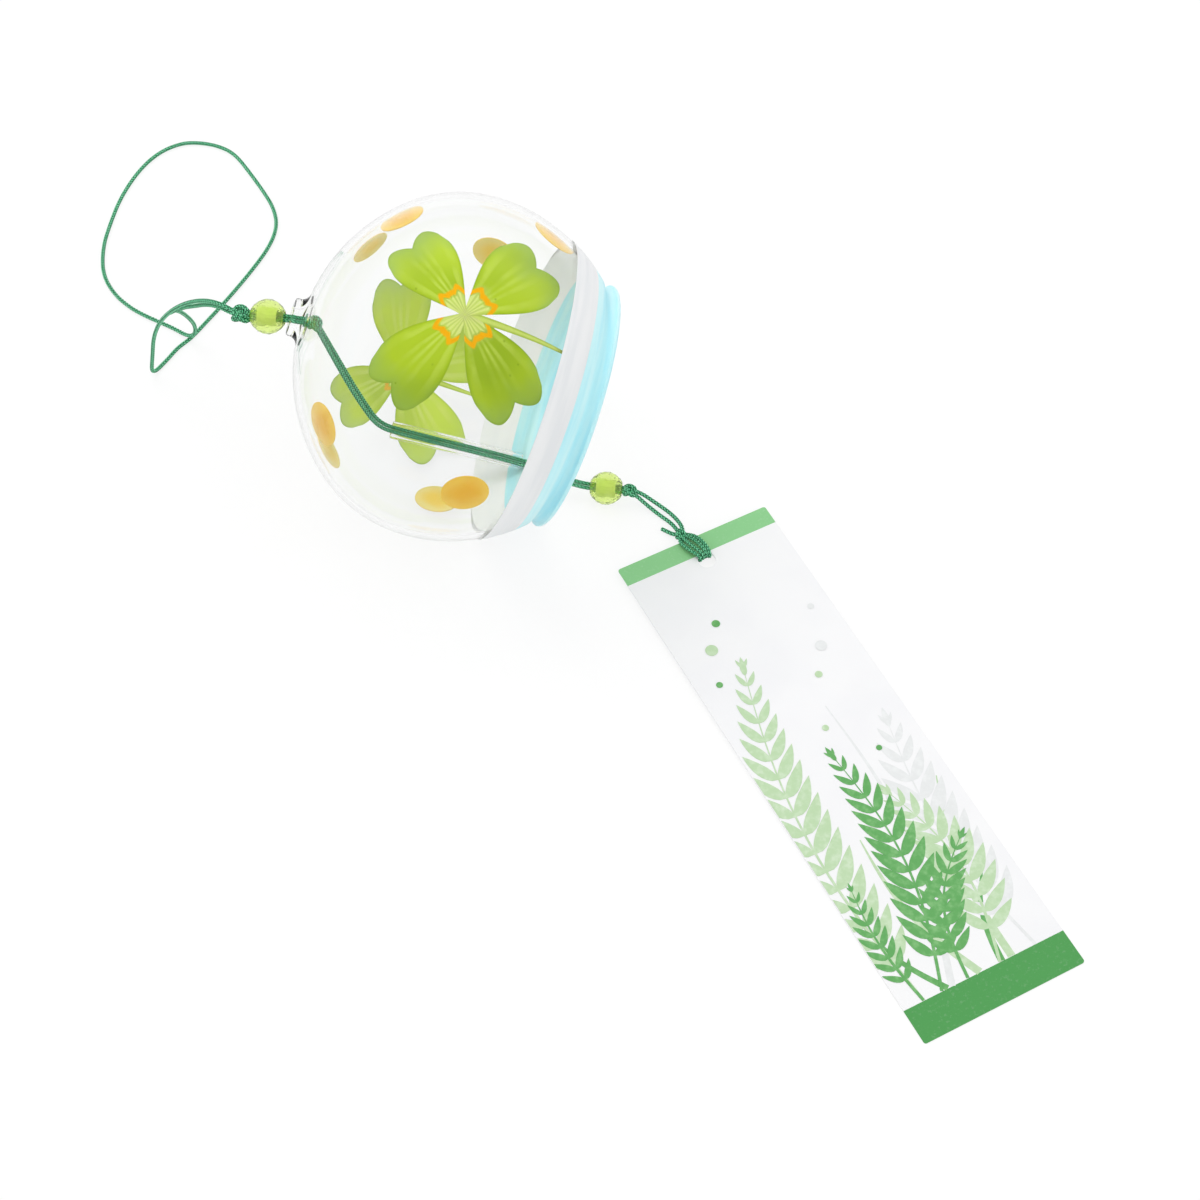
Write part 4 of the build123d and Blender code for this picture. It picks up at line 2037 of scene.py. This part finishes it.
@dataclass
class PaperStrip:
    """The card strip that catches the wind, with a fern print, in millimetres."""

    width: float = 40.0
    length: float = 135.0
    thickness: float = 0.3
    hole_setback: float = 7.3
    tie_lift: float = 1.25
    heading: float = math.radians(-55.83)
    corner: Vector = Vector((-11.8, 23.1, 0.0))
    top_band: float = 5.2
    foot_band: float = 8.3
    edge_margin: float = 0.15
    ink_lift: float = 0.02
    ink_step: float = 0.0004
    ink_depth: float = 0.015
    figures: int = 0
    leaf_grid: tuple[int, int] = (2, 8)
    stem_grid: tuple[int, int] = (1, 24)
    dot_grid: tuple[int, int] = (6, 6)
    leaf_share: float = 0.15
    leaf_belly: Place = (0.75, 0.85)
    leaf_angle: float = math.radians(62.0)
    leaf_closing: float = 0.35
    leaf_droop: float = 0.2
    leaf_swell: tuple[float, float, float] = (0.2, 0.76, 0.8)
    first_pair: int = 2
    pair_margin: float = 0.3
    tip_share: float = 0.96
    tip_leaf: float = 0.45
    stem_width: float = 0.36
    stem_taper: Place = (0.85, 1.5)
    way_step: float = 0.01
    fronds: tuple[Frond, ...] = (
        Frond((33.0, 126.6), (34.5, 64.0), -4.0, 12, 12.0, InkTone.GHOST),
        Frond((24.0, 126.6), (24.5, 80.0), 5.0, 12, 10.0, InkTone.PALE),
        Frond((5.0, 126.6), (13.0, 36.0), -6.0, 18, 11.5, InkTone.PALE),
        Frond((9.5, 126.6), (18.5, 66.0), 5.0, 15, 9.5, InkTone.FULL),
        Frond((16.0, 126.6), (33.5, 97.0), -4.5, 11, 7.5, InkTone.FULL),
        Frond((5.0, 126.6), (5.0, 97.0), -1.5, 10, 5.5, InkTone.FULL),
    )
    blades: tuple[Blade, ...] = (
        Blade((12.0, 126.6), (24.0, 55.0), 5.0, 0.8, InkTone.GHOST),
        Blade((27.0, 126.6), (36.5, 82.0), -3.0, 0.9, InkTone.PALE),
        Blade((19.0, 126.6), (13.0, 88.0), -3.0, 0.9, InkTone.PALE),
        Blade((24.5, 126.6), (35.0, 104.0), -2.5, 0.8, InkTone.FULL),
        Blade((11.0, 126.6), (2.5, 100.0), -2.5, 0.7, InkTone.FULL),
    )
    dots: tuple[Dot, ...] = (
        Dot((8.5, 30.0), 1.5, InkTone.PALE),
        Dot((13.0, 24.0), 1.0, InkTone.FULL),
        Dot((5.5, 39.0), 0.8, InkTone.FULL),
        Dot((27.0, 47.0), 0.9, InkTone.PALE),
        Dot((31.5, 40.5), 1.4, InkTone.GHOST),
        Dot((21.0, 60.0), 0.8, InkTone.PALE),
        Dot((29.0, 70.0), 0.7, InkTone.FULL),
        Dot((35.0, 30.0), 0.8, InkTone.GHOST),
    )

    @property
    def along(self) -> Vector:
        """Level direction from the holed end to the far end."""
        return Vector((math.cos(self.heading), math.sin(self.heading), 0.0))

    @property
    def across(self) -> Vector:
        """Level direction across the strip."""
        return Vector((-math.sin(self.heading), math.cos(self.heading), 0.0))

    @property
    def uphill(self) -> Vector:
        """From the far end up to the holed end."""
        slope = math.asin(self.tie_lift / (self.length - self.hole_setback))
        return Vector((0.0, 0.0, math.sin(slope))) - self.along * math.cos(slope)

    @property
    def face(self) -> Vector:
        """Out of the card's printed face."""
        return self.across.cross(self.uphill)

    @property
    def far_corner(self) -> Vector:
        """The far end's corner on the table."""
        return self.corner + self.along * self.length

    def on_card(self, spot: Place, lift: float) -> Vector:
        """A point above the card's face, by place across and along from its corner."""
        level = self.across * spot[0] + self.uphill * (self.length - spot[1])
        return self.far_corner + level + self.face * (self.thickness + lift)

    def figure(self, bm: bmesh.types.BMesh, grid: tuple[int, int], tone: InkTone, layout: Layout) -> None:
        """Print one figure: a grid laid on the card, trimmed at its edges and thickened to a film.

        Args:
            bm: Model of the print.
            grid: Faces across and along.
            tone: Its ink.
            layout: Takes across (-1 to 1) and along (0 to 1) to a place on the card.
        """
        shares, faces = flat_grid(bm, *grid)
        edges = list(dict.fromkeys(edge for corner in shares for edge in corner.link_edges))
        lift = self.ink_lift + self.ink_step * self.figures
        self.figures += 1
        for corner, share in shares.items():
            corner.co = self.on_card(layout(*share), lift)
        for face in faces:
            face.material_index = tone.value
        film = [*faces, *edges, *shares]
        trims = ((self.edge_margin, -self.across), (self.width - self.edge_margin, self.across))
        for edge_at, outward in trims:
            at = self.on_card((edge_at, 0.0), lift)
            cut = bmesh.ops.bisect_plane(bm, geom=film, plane_co=at, plane_no=outward, clear_outer=True)
            film = cut["geom"]
        film = [item for item in film if isinstance(item, bmesh.types.BMFace)]
        grown = bmesh.ops.extrude_face_region(bm, geom=film, use_keep_orig=True)["geom"]
        under = [item for item in grown if isinstance(item, bmesh.types.BMVert)]
        bmesh.ops.translate(bm, vec=self.face * -self.ink_depth, verts=under)

    def leaf_point(self, foot: Vector, way: Vector, length: float, droop: float,
                   across: float, along: float) -> Place:
        """A point of one pointed leaflet that droops to one side.

        Args:
            foot: Where the leaflet starts.
            way: Its direction at the foot.
            length: Its length.
            droop: How far its tip droops sideways, against its length.
            across: From -1 at one edge to 1 at the other.
            along: From 0 at the foot to 1 at the tip.

        Returns:
            The place on the card.
        """
        early, full = self.leaf_belly
        belly = math.sin(math.pi * along**early) ** full * length * self.leaf_share
        beside = Vector((-way.y, way.x)) * (across * belly + droop * length * along**2)
        return tuple(foot + way * (length * along) + beside)

    def stem_point(self, line: Line, half_width: float, across: float, along: float) -> Place:
        """A point of a stem or blade that tapers to its tip.

        Args:
            line: Its middle line.
            half_width: Half its width at the root.
            across: From -1 at one edge to 1 at the other.
            along: From 0 at the root to 1 at the tip.

        Returns:
            The place on the card.
        """
        way = self.way_at(line, along)
        taper, late = self.stem_taper
        half = half_width * (1 - taper * along**late)
        return tuple(line(along) + Vector((-way.y, way.x)) * (across * half))

    @staticmethod
    def bowed(root: Place, tip: Place, bow: float) -> Line:
        """A bowed line.

        Args:
            root: Its first point.
            tip: Its last point.
            bow: How far its middle stands off the straight line.

        Returns:
            The line, by share of its length.
        """
        start, chord = Vector(root), Vector(tip) - Vector(root)
        beside = Vector((-chord.y, chord.x)).normalized() * bow
        return lambda share: start + chord * share + beside * math.sin(math.pi * share)

    def way_at(self, line: Line, share: float) -> Vector:
        """A line's direction at a share of its length."""
        return (line(share + self.way_step) - line(share - self.way_step)).normalized()

    def print_frond(self, bm: bmesh.types.BMesh, frond: Frond) -> None:
        """Print a bowed stem with pairs of leaflets that shrink towards the tip.

        Args:
            bm: Model of the print.
            frond: The frond.
        """
        line = self.bowed(frond.root, frond.tip, frond.bow)
        first, span, fullness = self.leaf_swell
        for pair in range(self.first_pair, frond.pairs + 1):
            share = pair / (frond.pairs + self.pair_margin)
            length = frond.leaf * math.sin(math.pi * (first + span * share)) ** fullness
            for hand in (-1, 1):
                turn = Matrix.Rotation(hand * self.leaf_angle * (1 - self.leaf_closing * share), 2)
                way = turn @ self.way_at(line, share)
                leaflet = partial(self.leaf_point, line(share), way, length, -hand * self.leaf_droop)
                self.figure(bm, self.leaf_grid, frond.tone, leaflet)
        way = self.way_at(line, self.tip_share)
        tip = partial(self.leaf_point, line(self.tip_share), way, frond.leaf * self.tip_leaf, 0.0)
        self.figure(bm, self.leaf_grid, frond.tone, tip)
        self.figure(bm, self.stem_grid, frond.tone, partial(self.stem_point, line, self.stem_width))

    def dress_card(self) -> None:
        """Give the CAD card its printed finish."""
        far_end = self.far_corner.dot(self.uphill) * MM
        lengths = (self.length * MM, self.top_band * MM, self.foot_band * MM)
        finish = PrintedCard("printed_card", tuple(self.uphill), far_end, *lengths)
        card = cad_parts["paper_strip"]
        card.data.materials.clear()
        card.data.materials.append(finish.material())
        log.info("%s keeps its CAD shape, in printed card", card.name)

    def build(self) -> None:
        """Dress the card and print blades, ferns and dots on it."""
        self.dress_card()
        bm = bmesh.new()
        for blade in self.blades:
            line = self.bowed(blade.root, blade.tip, blade.bow)
            self.figure(bm, self.stem_grid, blade.tone, partial(self.stem_point, line, blade.half_width))
        for frond in self.fronds:
            self.print_frond(bm, frond)
        for dot in self.dots:
            self.figure(bm, self.dot_grid, dot.tone, dot.point)
        settle_faces(bm)
        inks = [
            PrintInk("ghost_ink", srgb(226, 228, 228), srgb(234, 236, 236)),
            PrintInk("pale_ink", srgb(186, 214, 172), srgb(206, 226, 196)),
            PrintInk("full_ink", srgb(96, 168, 92), srgb(128, 188, 120)),
        ]
        seat(make_piece("fern_print", bm, inks, crease=0.0), "strip", None)


@dataclass(frozen=True)
class Lamp:
    """A soft square lamp: place and side in millimetres, power in watts."""

    name: str
    place: Vector
    side: float
    power: float


@dataclass
class Studio:
    """Camera, lamps, surroundings and floor."""

    eye: Vector = Vector((19.1, -294.1, 450.4))
    target: Vector = Vector((-15.1, 15.2, 0.0))
    lens: float = 70.12
    sensor: float = 36.0
    lamps: tuple[Lamp, ...] = (
        Lamp("key_lamp", Vector((-420.0, 380.0, 900.0)), 600.0, 3.3),
        Lamp("fill_lamp", Vector((620.0, -380.0, 620.0)), 700.0, 1.5),
    )
    floor_half: float = 6000.0
    ambient: float = 1.0
    surround_stops: tuple[Place, ...] = ((0.5, 0.72), (0.58, 0.86), (0.75, 1.0))
    mirror_level: float = 0.15
    mirror_span: Place = (0.1, 0.7)

    @staticmethod
    def hang(name: str, data: bpy.types.ID, place: Vector, towards: Vector) -> bpy.types.Object:
        """Put a camera or lamp in the scene.

        Args:
            name: Its name.
            data: What it is.
            place: Where it is, in millimetres.
            towards: The direction that it looks in.

        Returns:
            Its object.
        """
        holder = bpy.data.objects.new(name, data)
        holder.location = place * MM
        holder.rotation_euler = towards.to_track_quat("-Z", "Y").to_euler()
        bpy.context.scene.collection.objects.link(holder)
        return holder

    def camera(self) -> None:
        """Set the camera where the photograph was taken from."""
        data = bpy.data.cameras.new("view")
        data.lens = self.lens
        data.sensor_width = self.sensor
        data.clip_start = MM
        bpy.context.scene.camera = self.hang("view", data, self.eye, self.target - self.eye)

    def light(self, lamp: Lamp) -> None:
        """Hang a lamp that faces the object and shows in no mirror or glass.

        Args:
            lamp: The lamp.
        """
        data = bpy.data.lights.new(lamp.name, "AREA")
        data.size = lamp.side * MM
        data.energy = lamp.power
        holder = self.hang(lamp.name, data, lamp.place, -lamp.place)
        holder.visible_glossy = False
        holder.visible_transmission = False

    def surroundings(self) -> None:
        """Even light for surfaces, and a white studio with a grey low surround for mirrors and glass."""
        world = bpy.data.worlds.new("studio")
        bpy.context.scene.world = world
        world.use_nodes = True
        bench = NodeBench(world.node_tree)
        light = bench.node("ShaderNodeBackground", None, {"Strength": self.ambient})
        way = bench.node("ShaderNodeTexCoord", output="Generated")
        height = bench.node("ShaderNodeSeparateXYZ", None, {"Vector": way}, "Z")
        stops = [(place, (grey, grey, grey, 1.0)) for place, grey in self.surround_stops]
        walls = bench.mix(bench.light_path("Is Camera Ray"), bench.ramp(height * 0.5 + 0.5, stops), WHITE)
        towards = tuple((self.eye - self.target).normalized())
        facing = bench.vector_maths("DOT_PRODUCT", way, towards, output="Value").step(*self.mirror_span)
        level = 1.0 - bench.light_path("Is Glossy Ray") * facing * (1.0 - self.mirror_level)
        shown = bench.node("ShaderNodeBackground", None, {"Color": walls, "Strength": level})
        bench.output(bench.mix_shader(seen_rays(bench), light, shown), "ShaderNodeOutputWorld")

    def floor(self) -> None:
        """Lay the pale floor."""
        bm = bmesh.new()
        bmesh.ops.create_grid(bm, x_segments=1, y_segments=1, size=self.floor_half)
        piece = make_piece("studio_floor", bm, [StudioFloor()], crease=0.0)

    def build(self) -> None:
        """Set up the whole studio."""
        bpy.context.scene.view_settings.view_transform = "Standard"
        self.camera()
        for lamp in self.lamps:
            self.light(lamp)
        self.surroundings()
        self.floor()


def main() -> None:
    """Build every sub-assembly in order."""
    logging.basicConfig(level=logging.INFO, format="%(name)s: %(message)s")
    Studio().build()
    shape = BellShape()
    strip = PaperStrip()
    cordage = Cordage(strip, shape)
    cordage.build()
    GlassBell(shape).build()
    PaintedBands(shape).build()
    PaintedFigures(shape).build()
    FacetedBead("upper_bead_facets", "upper_bead", cordage.upper_bead_at).build()
    FacetedBead("lower_bead_facets", "lower_bead", cordage.lower_bead_at).build()
    ClapperTube(*cordage.tube_run).build()
    strip.build()


if __name__ == "__main__":
    main()
